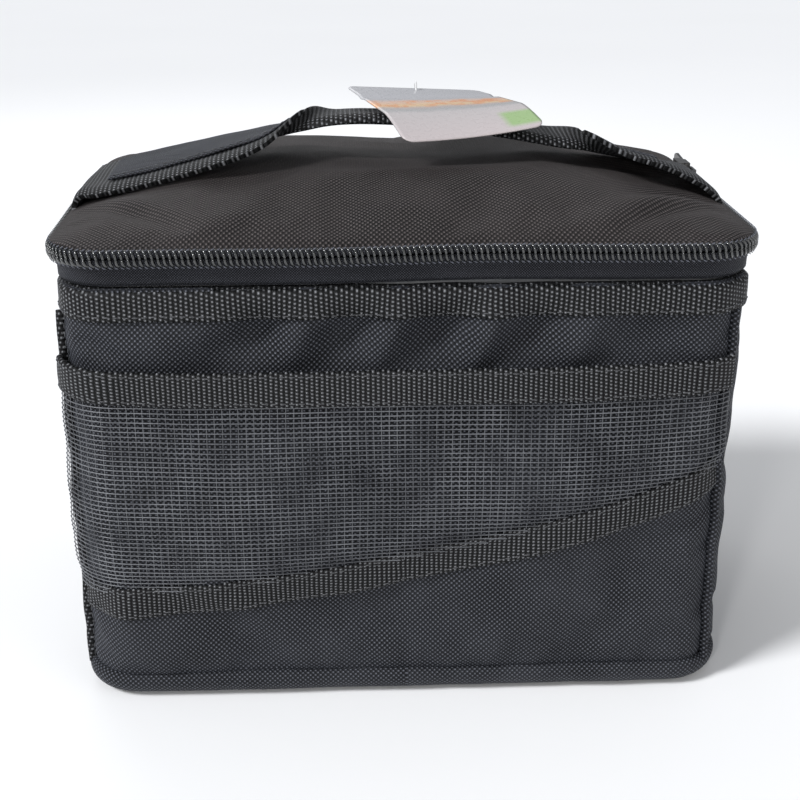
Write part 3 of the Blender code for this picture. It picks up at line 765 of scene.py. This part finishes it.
BAND_RING = (
    (0.02, 0.0), (0.0, 0.35), (0.025, 0.8), (0.08, 1.0), (0.2, 0.94), (0.35, 1.0), (0.5, 1.0), (0.65, 1.0),
    (0.8, 0.94), (0.92, 1.0), (0.975, 0.8), (1.0, 0.35), (0.98, 0.0), (0.02, 0.0),
)


def band(name, s, low, high, out, thickness, place=on_wall, scallop=0.18 * MM):
    """A flat woven band. s[n] runs along it, low[n] and high[n] are its edges, and out[n] its inner face."""
    ring = np.array(BAND_RING)
    s = np.asarray(s, float)
    low, high, out = (np.broadcast_to(np.asarray(v, float), s.shape)[:, None] for v in (low, high, out))
    edge = np.abs(ring[None, :, 0] * 2 - 1) ** 6
    beat = scallop * np.sin(s[:, None] * 2 * math.pi / (RIB * MM)) * edge
    z = low + (high - low) * ring[None, :, 0] + beat * np.sign(ring[None, :, 0] - 0.5)
    points, _ = place(np.broadcast_to(s[:, None], z.shape), z, out + thickness * ring[None, :, 1])
    weave = np.stack(np.broadcast_arrays(s[:, None], ring[None, :, 0] * WEBBING), axis=-1)
    return grid_object(name, points, weave, solid=True)


def build_rim_webbing():
    s = np.linspace(-AROUND / 2, AROUND / 2, 1200)
    low = RIM_LOW + 0.5 * MM * round_noise(s, 0.3, 9)
    obj = band("rim_band", s, low, RIM_TOP, 0.15 * MM, WEBBING_T)
    piece(obj, WEB, "bag", "webbing", "rim_webbing")
    for label, height in (("low", RIM_LOW + 1.7 * MM), ("high", RIM_TOP - 1.0 * MM)):
        row = stitches(
            f"rim_stitches_{label}", lambda t, h=height: on_wall(t, h, 0.15 * MM + WEBBING_T), 0, AROUND,
        )
        piece(row, THREAD, "bag", "webbing")


# Zip

def rim(s, z, out):
    """Points on the ideal rim outline, which the zip follows, with a slight wave."""
    s, z, out = arrays(s, z, out)
    x, y, nx, ny = outline(s, out)
    angle = s / AROUND * 2 * math.pi
    loose = 1 - np.clip(2.5 * hill(s, FLAT_W + ARC + FLAT_D, FLAT_D + ARC), 0, 1)
    sag = loose * (0.45 * MM * np.sin(3 * angle + 0.6) + 0.25 * MM * np.sin(7 * angle))
    points = np.stack([x, y, z + sag], axis=-1)
    return points, np.stack([nx, ny, 0 * nx], axis=-1)


COIL_PITCH = 2.0 * MM
COIL_STEPS = 14


def helix(name, side, start, end, body, node_name):
    """One half of the coil: a wound filament whose heads reach past the middle to mesh with the other."""
    k = np.arange(int((end - start) / COIL_PITCH) * COIL_STEPS + 1)
    s = start + k * COIL_PITCH / COIL_STEPS
    angle = 2 * math.pi * k / COIL_STEPS + (0 if side > 0 else math.pi)
    middle = ZIP_Z + side * 1.26 * MM
    lean = 0.30 * MM * np.sin(angle) * side
    head = 0.315 * MM * side * -np.cos(angle)
    out = COIL_OUT + 0.66 * MM * np.sin(angle) + head
    points, _ = rim(s + lean, middle + 1.22 * MM * np.cos(angle), out)
    obj = tube_along(name, points, 0.54 * MM, 8, up=(0.31, 0.27, 0.91))
    piece(obj, COIL, body, "zip_coil", node_name)
    core, _ = rim(np.arange(start, end, 3 * MM), middle + side * 0.2 * MM, COIL_OUT - 0.25 * MM)
    filler = tube_along(f"{name}_core", core, 0.85 * MM, 8, squash=(0.7, 1.4))
    piece(filler, TAPE, body, "zip_coil")
    row = stitches(
        f"{name}_stitches", lambda t: rim(t, middle + side * 1.75 * MM, COIL_OUT + 0.15 * MM), start, end,
        COIL_PITCH, 1.5 * MM, 0.22 * MM, slant=0.5 * side,
    )
    piece(row, COIL_THREAD, body, "zip_tape")


def tape_band(name, low, high, body, node_name, start, end):
    s = np.linspace(start, end, 500)
    z = np.linspace(low, high, 7)
    s, z = np.meshgrid(s, z, indexing="ij")
    share = (z - low) / (high - low)
    out = 0.4 * MM + 0.55 * MM * (share if body == "bag" else 1 - share) ** 2
    points, _ = rim(s, z, out)
    obj = grid_object(name, points, np.stack([s, z], axis=-1))
    apply_modifiers(thicken(obj, 0.6 * MM))
    piece(obj, TAPE, body, "zip_tape", node_name)


TAPE_END = AROUND / 2 - FLAT_W - ARC * 0.8


def build_zip():
    helix("lower_coil", -1, -ZIP_END, ZIP_END, "bag", "lower_zip_coil")
    helix("upper_coil", 1, -ZIP_END, SLIDER_FRONT, "lid", "upper_zip_coil")
    tape_band("lower_tape", RIM_TOP - 1 * MM, ZIP_Z - 1.3 * MM, "bag", "lower_zip_tape", -TAPE_END, TAPE_END)
    tape_band("upper_tape", ZIP_Z + 1.3 * MM, ZIP_Z + 2.6 * MM, "lid", "upper_zip_tape", -TAPE_END, TAPE_END)
    for side in ("right", "left"):
        dress(f"zip_end_tab_{side}", WEB, 0.6 * MM)
    dress("zip_slider", METAL, 0.35 * MM)
    dress("zip_puller", METAL, 0.3 * MM)


# Front pocket

def diagonal_z(along):
    return 54.6 * MM + 0.206 * along + 0.793 * along * along


def pocket_middle(s):
    """1 in the middle of the pocket, falling to 0 at its side seams."""
    share = (s - (POCKET_LEFT + POCKET_RIGHT) / 2) / ((POCKET_RIGHT - POCKET_LEFT) / 2)
    return np.clip(1 - share**4, 0, 1)


def pocket_out(s, z):
    """How far the net stands off the wall."""
    low = diagonal_z(s) + WEBBING / 2
    share = np.clip((z - low) / (BINDING_TOP - low), 0, 1)
    lift = 1.8 * MM * np.clip(12 * share, 0, 1)
    return 0.7 * MM + lift + 4.0 * MM * pocket_middle(s) * np.sin(share * math.pi / 2) ** 1.2


def binding_sag(s):
    return -1.2 * MM * pocket_middle(s) + 0.35 * MM * np.sin(s / (27 * MM))


def build_pocket():
    s = np.linspace(POCKET_LEFT, POCKET_RIGHT, 420)
    middle = diagonal_z(s)
    lower = band("pocket_bottom_band", s, middle - WEBBING / 2, middle + WEBBING / 2, 0.1 * MM, WEBBING_T)
    piece(lower, WEB, "bag", "webbing", "pocket_bottom_webbing")
    for label, shift in (("low", -WEBBING / 2 + 1.6 * MM), ("high", WEBBING / 2 - 1.6 * MM)):
        row = stitches(
            f"pocket_bottom_stitches_{label}",
            lambda t, d=shift: on_wall(t, diagonal_z(t) + d, 0.1 * MM + WEBBING_T), POCKET_LEFT, POCKET_RIGHT,
        )
        piece(row, THREAD, "bag", "webbing")

    sag = binding_sag(s)
    out = pocket_out(s, BINDING_TOP) - 0.6 * MM
    upper = band("pocket_top_band", s, BINDING_LOW + sag, BINDING_TOP + sag, out, 1.9 * MM, on_smooth_wall)
    piece(upper, WEB, "bag", "webbing", "pocket_top_binding")
    for label, height in (("low", BINDING_LOW + 1.7 * MM), ("high", BINDING_TOP - 1.5 * MM)):
        row = stitches(
            f"pocket_top_stitches_{label}",
            lambda t, h=height: on_smooth_wall(t, h + binding_sag(t), pocket_out(t, BINDING_TOP) + 1.3 * MM),
            POCKET_LEFT, POCKET_RIGHT,
        )
        piece(row, THREAD, "bag", "webbing")
    build_net()


NET_U = 2.75 * MM
NET_V = 1.78 * MM


def build_net():
    """The pocket is a real open net: level strands, with thinner upright strands between them."""
    columns = np.arange(POCKET_LEFT, POCKET_RIGHT, NET_U / 2)
    foot = diagonal_z(columns) + WEBBING / 2 - 3 * MM
    top = BINDING_LOW + 2 * MM
    level, upright = [], []
    for z in np.arange(diagonal_z(-0.12) + 2 * MM, top, NET_V):
        s = columns[z > foot]
        if len(s) > 3:
            level.append((s, np.full_like(s, z)))
    for s, low in zip(columns[::2], foot[::2]):
        z = np.arange(low, top, NET_V)
        upright.append((np.full_like(z, s), z))
    build_strands("net_level_strands", level, 0.21 * MM, 0.22 * MM, "pocket_mesh")
    build_strands("net_upright_strands", upright, 0.15 * MM, -0.05 * MM)


def net_shift(s, z, seed):
    return soft_noise(s, z, 30 * MM, seed) * 0.7 * MM


def build_strands(name, runs, radius, lift, *nodes):
    strands = []
    for s, z in runs:
        moved_z = z + net_shift(s, z, 50) * 0.5
        moved_s = s + net_shift(s, z, 60)
        points, _ = on_smooth_wall(moved_s, moved_z, pocket_out(s, z) + lift)
        strands.append(tube_along("strand", points, radius, 5, up=(0.15, -0.97, 0.2)))
    piece(join(name, strands), NET, "bag", "pocket_mesh", *nodes)


def join(name, parts):
    """One object from several that have no material yet."""
    work = bmesh.new()
    for part in parts:
        work.from_mesh(part.data)
        bpy.data.objects.remove(part)
    mesh = bpy.data.meshes.new(name)
    work.to_mesh(mesh)
    work.free()
    smooth(mesh)
    return new_object(name, mesh)


# Lid

LID_OUT = 1.6 * MM
LID_EDGE_Z = ZIP_Z + 3.0 * MM
LID_CROWN = LID_TOP + 1.8 * MM - LID_EDGE_Z
LID_COLUMNS, LID_ROWS = 96, 68


def lid_grid(columns, rows, out):
    """A square grid laid into a rounded rectangle: x and y of each point."""
    half_w, half_d = HALF_W + out, HALF_D + out
    u, v = np.meshgrid(np.linspace(-1, 1, columns + 1), np.linspace(-1, 1, rows + 1), indexing="ij")
    return round_corners(u * half_w, v * half_d, half_w, half_d, CORNER_R + out)


def lid_height(x, y):
    across = np.clip(1 - np.abs(x / (HALF_W + LID_OUT)) ** 3.4, 0, 1)
    along = np.clip(1 - np.abs(y / (HALF_D + LID_OUT)) ** 6, 0, 1)
    return LID_CROWN * across * along


# Folds of the lid's top: middle x and y, half sizes, turn in degrees, and rise, in millimetres
LID_FOLDS = (
    (96, -52, 5, 26, -58, 2.6), (104, -38, 4, 22, -62, -1.8), (88, -66, 4, 20, -50, -1.2),
    (-100, -46, 6, 24, 52, 1.8), (-94, -58, 4, 20, 46, -1.4),
    (10, 18, 30, 26, 0, -2.6), (20, -40, 46, 14, 8, 1.2), (-40, -58, 40, 10, -6, -1.0),
    (60, 20, 12, 40, 30, -1.0), (-60, 40, 34, 14, 24, 0.8),
)


def lid_surface(x, y):
    z = LID_EDGE_Z + lid_height(x, y)
    rim_share = np.clip(lid_height(x, y) / LID_CROWN * 2.2, 0, 1)
    for middle_x, middle_y, half_a, half_b, turn, rise in LID_FOLDS:
        angle = math.radians(turn)
        dx, dy = x - middle_x * MM, y - middle_y * MM
        a = dx * math.cos(angle) + dy * math.sin(angle)
        b = -dx * math.sin(angle) + dy * math.cos(angle)
        z = z + rise * MM * hill(a, 0, half_a * MM) * hill(b, 0, half_b * MM) * rim_share
    ripple = soft_noise(x, y, 40 * MM, 3) * 1.1 + soft_noise(x, y, 16 * MM, 4) * 0.45
    return z + ripple * rim_share * MM


def lid_ring_normal(x, y):
    """Outward direction in plan at a point of the lid's edge."""
    cx = np.clip(x, -FLAT_W, FLAT_W)
    cy = np.clip(y, -FLAT_D, FLAT_D)
    length = np.hypot(x - cx, y - cy)
    return (x - cx) / length, (y - cy) / length


def lid_top_points():
    x, y = lid_grid(LID_COLUMNS, LID_ROWS, LID_OUT)
    points = np.stack([x, y, lid_surface(x, y)], axis=-1)
    pinned = np.zeros(x.shape, bool)
    pinned[:2] = pinned[-2:] = pinned[:, :2] = pinned[:, -2:] = True
    return settle("lid_at_work", points, False, pinned, swell=0.006, push=1.2)


LID = lid_top_points()


def lid_ring(points):
    """The edge points of a lid grid in order, once round and back to the first."""
    sides = points[:-1, 0], points[-1, :-1], points[:0:-1, -1], points[0, :0:-1], points[:1, 0]
    return np.concatenate(sides)


# The roll of the lid's edge, in millimetres out and down from the top's edge
LID_ROLL = ((0.6, 0.5), (0.7, 1.1), (0.2, 1.8), (-0.6, 2.2), (-1.5, 2.3))


def build_lid():
    top = grid_object("lid_fabric_top", LID, LID[..., :2])
    edge = lid_ring(LID)
    nx, ny = lid_ring_normal(edge[:, 0], edge[:, 1])
    outward = np.stack([nx, ny, np.zeros_like(nx)], axis=-1)
    wave = soft_noise(edge[:, 0], edge[:, 1], 45 * MM, 11) * 0.15 * MM
    rings, weaves = [edge], [edge[:, :2]]
    for out, drop in LID_ROLL:
        rings.append(edge + outward * (out * MM + wave)[:, None] - (0, 0, drop * MM))
        weaves.append((edge + outward * drop * MM)[:, :2])
    roll = grid_object("lid_roll", np.stack(rings, axis=1), np.stack(weaves, axis=1), weld=True)
    fabric = merge_weld("lid_fabric", [top, roll])
    fine = fabric.modifiers.new("fine", "SUBSURF")
    fine.levels = fine.render_levels = 1
    apply_modifiers(thicken(fabric, FABRIC_T))
    piece(fabric, LID_SHELL, "lid", "shell_fabric", "lid_top_panel")
    build_lid_padding()


def merge_weld(name, parts):
    """Joins parts into one mesh, keeping their weave map, and welds where they meet."""
    bpy.context.view_layer.update()
    with bpy.context.temp_override(active_object=parts[0], selected_editable_objects=parts, object=parts[0]):
        bpy.ops.object.join()
    obj = parts[0]
    work = bmesh.new()
    work.from_mesh(obj.data)
    bmesh.ops.remove_doubles(work, verts=work.verts, dist=1e-5)
    bmesh.ops.recalc_face_normals(work, faces=work.faces)
    work.to_mesh(obj.data)
    work.free()
    obj.name = obj.data.name = name
    return obj


LID_PAD_IN = 2.2 * MM


def build_lid_padding():
    """The lid's foam and liner as one soft pad, flat on its upper side and puffed below."""
    x, y = lid_grid(60, 42, -LID_PAD_IN)
    across = np.clip(1 - np.abs(x / (HALF_W - LID_PAD_IN)) ** 8, 0, 1)
    along = np.clip(1 - np.abs(y / (HALF_D - LID_PAD_IN)) ** 8, 0, 1)
    inside = (across * along) ** 0.5
    top = LID_EDGE_Z - 1.6 * MM + 0.55 * lid_height(x, y)
    puff = 1.0 + 0.25 * soft_noise(x, y, 30 * MM, 12)
    low = LID_EDGE_Z - 3.4 * MM - 3.2 * MM * inside * puff + 0.55 * lid_height(x, y)
    faces = [np.stack([x, y, z], axis=-1) for z in (top, low)]
    side = np.stack([lid_ring(face) for face in faces], axis=1)
    names = ("lid_pad_upper", "lid_pad_lower", "lid_pad_side")
    parts = [grid_object(name, points, points[..., :2]) for name, points in zip(names, (*faces, side))]
    pad = merge_weld("lid_padding", parts)
    piece(pad, LINER, "lid", "liner", "lid_foam", "lid_liner")
    s = np.linspace(0, AROUND, 500)
    low, high = LID_EDGE_Z - 6.0 * MM, LID_EDGE_Z - 1.8 * MM
    hem = band("lid_inner_binding", s, low, high, -LID_PAD_IN, 1.1 * MM, rim, 0)
    piece(hem, TAPE, "lid", "zip_tape", "lid_seam_binding")


# Lining

LINING_OUTER, LINING_INNER = -5.4 * MM, -10.4 * MM
LINING_BEHIND = -9 * MM
FLOOR_EDGE = LINING_INNER - 7 * MM


def lining_profile():
    """The tub's section as out, z and softness, from low behind the walls over the top and down inside."""
    top = LINING_TOP - 1.2 * MM
    profile = [(LINING_BEHIND, z * MM, 0) for z in (8.4, 60, 120, 152)]
    profile += [(LINING_OUTER, LINING_TOP - 6 * MM, 0), (LINING_OUTER, LINING_TOP - 2.7 * MM, 0)]
    profile += [(LINING_OUTER - 1.5 * MM, top, 0), (LINING_INNER + 1.5 * MM, top, 0)]
    for z in np.linspace(LINING_TOP - 2.7 * MM, FLOOR_TOP + 8 * MM, 26):
        profile.append((LINING_INNER, z, np.clip((LINING_TOP - 6 * MM - z) / (20 * MM), 0, 1)))
    return profile + [(LINING_INNER - 2 * MM, FLOOR_TOP + 2.6 * MM, 0.4), (FLOOR_EDGE, FLOOR_TOP, 0)]


def build_lining():
    """The foam and liner as one thick soft tub inside the walls."""
    s = np.linspace(0, AROUND, 193)
    angle = s / AROUND * 2 * math.pi
    profile = lining_profile()
    depths = lengths_along(np.array(profile)[:, :2])
    rings, weaves = [], []
    for (out, z, soft), depth in zip(profile, depths):
        if soft:
            wrinkle = soft_noise(np.cos(angle) * 0.12, np.sin(angle) * 0.12 + z, 26 * MM, 13) * MM
            out = np.minimum(out + soft * wrinkle, LINING_INNER + 0.4 * MM)
        x, y, _, _ = outline(s, out)
        rings.append(np.stack([x, y, np.full_like(s, z)], axis=-1))
        weaves.append(np.stack([s, np.full_like(s, depth)], axis=-1))
    x, y, _, _ = outline(s, FLOOR_EDGE)
    for share in (0.2, 0.5, 0.8, 1.0):
        height = FLOOR_TOP + 0.4 * MM * math.sin(share * 9)
        rings.append(np.stack([x * (1 - share), y * (1 - share), np.full_like(s, height)], axis=-1))
        weaves.append(rings[-1][:, :2])
    tub = grid_object("inner_lining", np.stack(rings, axis=1), np.stack(weaves, axis=1), weld=True)
    apply_modifiers(thicken(tub, 0.5 * MM, 1.0))
    nodes = [f"{side}_{layer}" for side in ("front", "back", "left", "right") for layer in ("foam", "liner")]
    piece(tub, LINER, "bag", "liner", "bottom_foam", "bottom_liner", *nodes)
    s = np.linspace(0, AROUND, 500)
    low, high = LINING_TOP - 4 * MM, LINING_TOP + 1.4 * MM
    cap = band("wall_top_cover", s, low, high, LINING_INNER - 0.9 * MM, 0.2 * MM - LINING_INNER, rim, 0)
    piece(cap, TAPE, "bag", "zip_tape", "wall_top_binding")


# Hinge along the rear seam

def build_hinge():
    """One strip of shell fabric from the rim webbing to the lid, puffed out a little where the lid turns."""
    half = FLAT_W + ARC * 0.9
    bend = 2.5 * MM
    s = np.linspace(AROUND / 2 - half, AROUND / 2 + half, 120)
    z = np.linspace(RIM_TOP - 1.2 * MM, LID_EDGE_Z - 1 * MM, 15)
    s, z = np.meshgrid(s, z, indexing="ij")
    points, _ = rim(s, z, 0.5 * MM + 0.5 * MM * hill(z, HINGE_Z, bend))
    strip = grid_object("hinge_strip", points, np.stack([s, z], axis=-1))
    apply_modifiers(thicken(strip, 0.6 * MM))
    ends = (0, HINGE_Y, HINGE_Z - bend), (0, HINGE_Y, HINGE_Z + bend)
    nodes = "hinge_strip_lower", "hinge_strip_upper"
    bending_piece(strip, SHELL, "shell_fabric", ("bag", "lid"), *ends, *nodes)


# Handle

# Stations of the strap: its rear edge in millimetres, its tilt in degrees and how far it is doubled
STRAP = (
    (-120.5, 24.0, 173.6, 2, 0), (-120.8, 24.0, 177.0, 2, 0), (-117.6, 23.5, 181.2, 1, 0),
    (-110.0, 20.0, 184.2, -1, 0), (-84.0, 17.0, 190.6, -1, 0), (-64.0, 15.0, 195.0, 1, 0),
    (-48.0, 14.0, 197.8, 3, 0.1), (-36.0, 11.5, 199.6, 6, 0.5), (-26.0, 9.8, 200.6, 9, 0.96),
    (-12.0, 9.5, 201.0, 10, 1), (10.0, 9.5, 199.8, 9, 1), (40.0, 9.5, 196.0, 8, 1),
    (60.0, 10.0, 192.8, 7, 0.9), (72.0, 14.0, 189.8, 9, 0.4), (84.0, 18.0, 186.8, 10, 0.04),
    (98.0, 20.0, 183.6, 9, 0), (112.0, 23.0, 181.4, 4, 0), (118.0, 23.0, 179.6, 1, 0),
    (120.8, 23.0, 177.0, 0, 0), (120.5, 23.0, 173.6, 0, 0),
)
STRAP_W = 50 * MM
STRAP_T = 1.7 * MM


def strap_rows(t):
    """The strap's stations, smooth between STRAP's rows. t holds row numbers and parts of them."""
    table = np.array(STRAP, float)
    k = np.clip(np.floor(t).astype(int), 0, len(table) - 2)
    return cubic([table[np.clip(k + d, 0, len(table) - 1)] for d in (-1, 0, 1, 2)], t - k)


def strap_point(rows, across, lift=0.0):
    """Points on the strap's middle surface. across[m] is the distance from its rear edge."""
    x, y, z, tilt, fold = (rows[:, k][:, None] for k in range(5))
    tilt, fold = np.radians(tilt), np.clip(fold, 0, 1)
    across = across[None, :]
    half = STRAP_W / 2
    past = np.clip(across - half, 0, None)
    turn = np.sin(np.clip((across - half + 4 * MM) / (8 * MM), 0, 1) * math.pi)
    width = np.minimum(across, half) + past * (1 - 2 * fold) + fold * turn * 0.8 * MM
    height = past / half * fold * STRAP_T * 1.5 + np.sin(math.pi * fold) * past * 0.20
    height = height + np.clip(past / (3 * MM), 0, 1) * fold * STRAP_T * 1.15
    hem = np.clip((across - STRAP_W + 7 * MM) / (7 * MM), 0, 1)
    height = height - (1 - fold) * 1.8 * MM * hem**2 + lift
    point_y = y * MM - width * np.cos(tilt) + height * np.sin(tilt)
    point_z = z * MM + width * np.sin(tilt) + height * np.cos(tilt)
    return np.stack([np.broadcast_to(x * MM, width.shape), point_y, point_z], axis=-1)


def strap_sheet(name, rows, across, points):
    """A sheet through points[n, m, 3] on the strap, and the distance along it to each of its rows."""
    arc = lengths_along(strap_point(rows, np.array([STRAP_W / 4]))[:, 0])
    weave = np.stack(np.broadcast_arrays(arc[:, None], across[None, :]), axis=-1)
    return grid_object(name, points, weave), arc


def strap_half(name, start, end, bend, *nodes):
    rows = strap_rows(np.linspace(start, end, 130))
    across = np.linspace(0, STRAP_W, 61)
    points = strap_point(rows, across)
    ripple = soft_noise(points[..., 0], points[..., 1], 22 * MM, 15) * 0.5 * MM
    points[..., 2] += ripple * (1 - 0.6 * np.clip(rows[:, 4], 0, 1))[:, None]
    strap, _ = strap_sheet(name, rows, across, points)
    apply_modifiers(thicken(strap, STRAP_T, 0.0))
    bevel = strap.modifiers.new("edges", "BEVEL")
    bevel.width = 0.5 * MM
    bevel.segments = 2
    bevel.limit_method = "ANGLE"
    bevel.angle_limit = math.radians(50)
    apply_modifiers(strap)
    bending_piece(strap, WEB, "webbing", ("lid", "handle"), *bend, *nodes)


def facing(name, start, end, near, bend, *nodes):
    """Smooth cloth sewn on the strap, from 4 mm inside its rear edge to near, measured across it."""
    stations = np.linspace(start, end, 70)
    rows = strap_rows(stations)
    across = np.linspace(4 * MM, near, 40)
    puff = 0.9 * MM + 0.7 * MM * np.sin((across - across[0]) / (across[-1] - across[0]) * math.pi) ** 0.5
    points = strap_point(rows, across, puff[None, :])
    ripple = soft_noise(points[..., 0], points[..., 1], 14 * MM, 16) * 0.45 * MM
    points[..., 2] += ripple + STRAP_T / 2 - 0.5 * MM
    cloth, arc = strap_sheet(name, rows, across, points)
    apply_modifiers(thicken(cloth, FABRIC_T))
    bending_piece(cloth, SHELL, "shell_fabric", ("lid", "handle"), *bend, *nodes)

    def near_edge(t):
        beside = strap_rows(np.interp(t, arc, stations))
        points = strap_point(beside, np.array([near - 2 * MM]), 1.75 * MM + STRAP_T / 2)[:, 0]
        return points, np.tile([0.0, 0.0, 1.0], (len(t), 1))

    row = stitches(f"{name}_stitches", near_edge, 1 * MM, arc[-1] - 1 * MM)
    bending_piece(row, THREAD, "webbing", ("lid", "handle"), *bend)


def build_handle():
    left = (-118 * MM, 0, 180 * MM), (-60 * MM, 0, 196 * MM)
    right = (118 * MM, 0, 180 * MM), (80 * MM, 0, 192 * MM)
    strap_half("strap_left", 0, 10, left, "handle_end_left", "handle_webbing")
    strap_half("strap_right", 10, len(STRAP) - 1, right, "handle_end_right")
    facing("facing_left", 3.1, 6.6, 41 * MM, left, "handle_facing_left", "handle_facing_left_end")
    facing("facing_right", 13.4, 15.2, 24 * MM, right, "handle_facing_right_end")


# Hang tag

TAG_PIVOT = (8.5 * MM, 25 * MM, 210.9 * MM)
TAG_TURN, TAG_SLOPE = math.radians(20), math.radians(3.6)
TAG_HALF_W, TAG_LENGTH, TAG_CORNER = 28.5 * MM, 61 * MM, 4 * MM
TAG_REAR = 4 * MM


def build_tag():
    u, v = np.meshgrid(np.linspace(-1, 1, 49), np.linspace(-1, 1, 53), indexing="ij")
    half_length = TAG_LENGTH / 2
    x, y = round_corners(u * TAG_HALF_W, v * half_length, TAG_HALF_W, half_length, TAG_CORNER)
    ahead = half_length - y
    droop = -5.5 * MM * np.clip((ahead - 41 * MM) / (20 * MM), 0, 1) ** 1.3
    crease = -0.6 * MM * hill(ahead, 17 * MM, 2.2 * MM)
    curl = 1.2 * MM * (x / TAG_HALF_W) ** 2 * np.clip(ahead / (60 * MM), 0, 1)
    twist = (x / TAG_HALF_W) * (-2.4 * MM + 3.6 * MM * ahead / TAG_LENGTH)
    local = np.stack([x, TAG_REAR - ahead, droop + crease + curl + twist, np.ones_like(x)], axis=-1)
    turned = Matrix.Rotation(TAG_TURN, 4, "Z") @ Matrix.Rotation(TAG_SLOPE, 4, "X")
    place = Matrix.Translation(TAG_PIVOT) @ turned
    points = (local @ np.array(place).T)[..., :3]
    card = grid_object("hang_tag_card", points, np.stack([x, ahead], axis=-1))
    apply_modifiers(thicken(card, 0.45 * MM))
    printed = tag_print("tag_card", TAG_HALF_W / MM, TAG_LENGTH / MM)
    piece(card, printed, "tag", "tag_card", "hang_tag")
    dress("tag_fastener", NYLON)


# Studio

def build_world():
    """Soft light from all round, in front of a nearly white backdrop."""
    world = bpy.data.worlds.new("studio")
    world.use_nodes = True
    nodes, links = world.node_tree.nodes, world.node_tree.links
    light = nodes["Background"]
    light.inputs[0].default_value = (0.92, 0.95, 1.0, 1)
    light.inputs[1].default_value = 0.42
    backdrop = nodes.new("ShaderNodeBackground")
    backdrop.inputs[0].default_value = (0.97, 0.97, 0.97, 1)
    backdrop.inputs[1].default_value = 1.0
    path = nodes.new("ShaderNodeLightPath")
    mix = nodes.new("ShaderNodeMixShader")
    links.new(path.outputs["Is Camera Ray"], mix.inputs[0])
    links.new(light.outputs[0], mix.inputs[1])
    links.new(backdrop.outputs[0], mix.inputs[2])
    links.new(mix.outputs[0], nodes["World Output"].inputs[0])
    bpy.context.scene.world = world


def build_floor():
    g = Graph("floor")
    color = g.mix(g.noise(g.space(), 0.002, 2.0), (0.90, 0.90, 0.90), (0.93, 0.93, 0.93))
    g.surface(color=color, roughness=0.8, specular=0.1)
    corners = [(-12, -12, 0), (12, -12, 0), (12, 12, 0), (-12, 12, 0)]
    mesh = bpy.data.meshes.new("floor")
    mesh.from_pydata(corners, [], [(0, 1, 2, 3)])
    mesh.materials.append(g.material)
    new_object("floor", mesh)


def lamp(name, kind, place, power, color, size):
    """A lamp aimed at the middle of the bag. size is a sun's angle or a lamp's width."""
    data = bpy.data.lights.new(name, kind)
    data.energy = power
    data.color = color
    if kind == "SUN":
        data.angle = size
    else:
        data.size = size
    made = new_object(name, data)
    made.location = place
    made.rotation_euler = (Vector((0, 0, 0.1)) - Vector(place)).to_track_quat("-Z", "Y").to_euler()


def build_camera():
    distance, pitch, yaw = 0.569, math.radians(21), math.radians(-2.5)
    target = Vector((1 * MM, 0, 88 * MM))
    away = Vector((math.sin(yaw) * math.cos(pitch), -math.cos(yaw) * math.cos(pitch), math.sin(pitch)))
    lens = bpy.data.cameras.new("camera")
    lens.lens = 61.8
    lens.sensor_width = 36
    camera = new_object("camera", lens)
    camera.location = target + away * distance
    camera.rotation_euler = (-away).to_track_quat("-Z", "Y").to_euler()
    bpy.context.scene.camera = camera


def build_studio():
    view = bpy.context.scene.view_settings
    view.view_transform = "Standard"
    view.look = "None"
    build_world()
    build_floor()
    lamp("key", "SUN", (-1.15, -0.62, 1.3), 2.8, (0.97, 0.98, 1.0), math.radians(16))
    lamp("glint", "AREA", (-0.35, -1.1, 0.5), 3.2, (1.0, 1.0, 1.0), 0.10)
    lamp("fill", "AREA", (1.0, -0.9, 0.5), 2.5, (1.0, 0.95, 0.90), 0.7)
    lamp("rear", "AREA", (-0.3, 0.9, 0.9), 3, (1.0, 1.0, 1.0), 0.8)
    build_camera()


build_walls()
build_seams()
build_bottom()
build_rim_webbing()
build_zip()
build_pocket()
build_lid()
build_lining()
build_hinge()
build_handle()
build_tag()
build_studio()
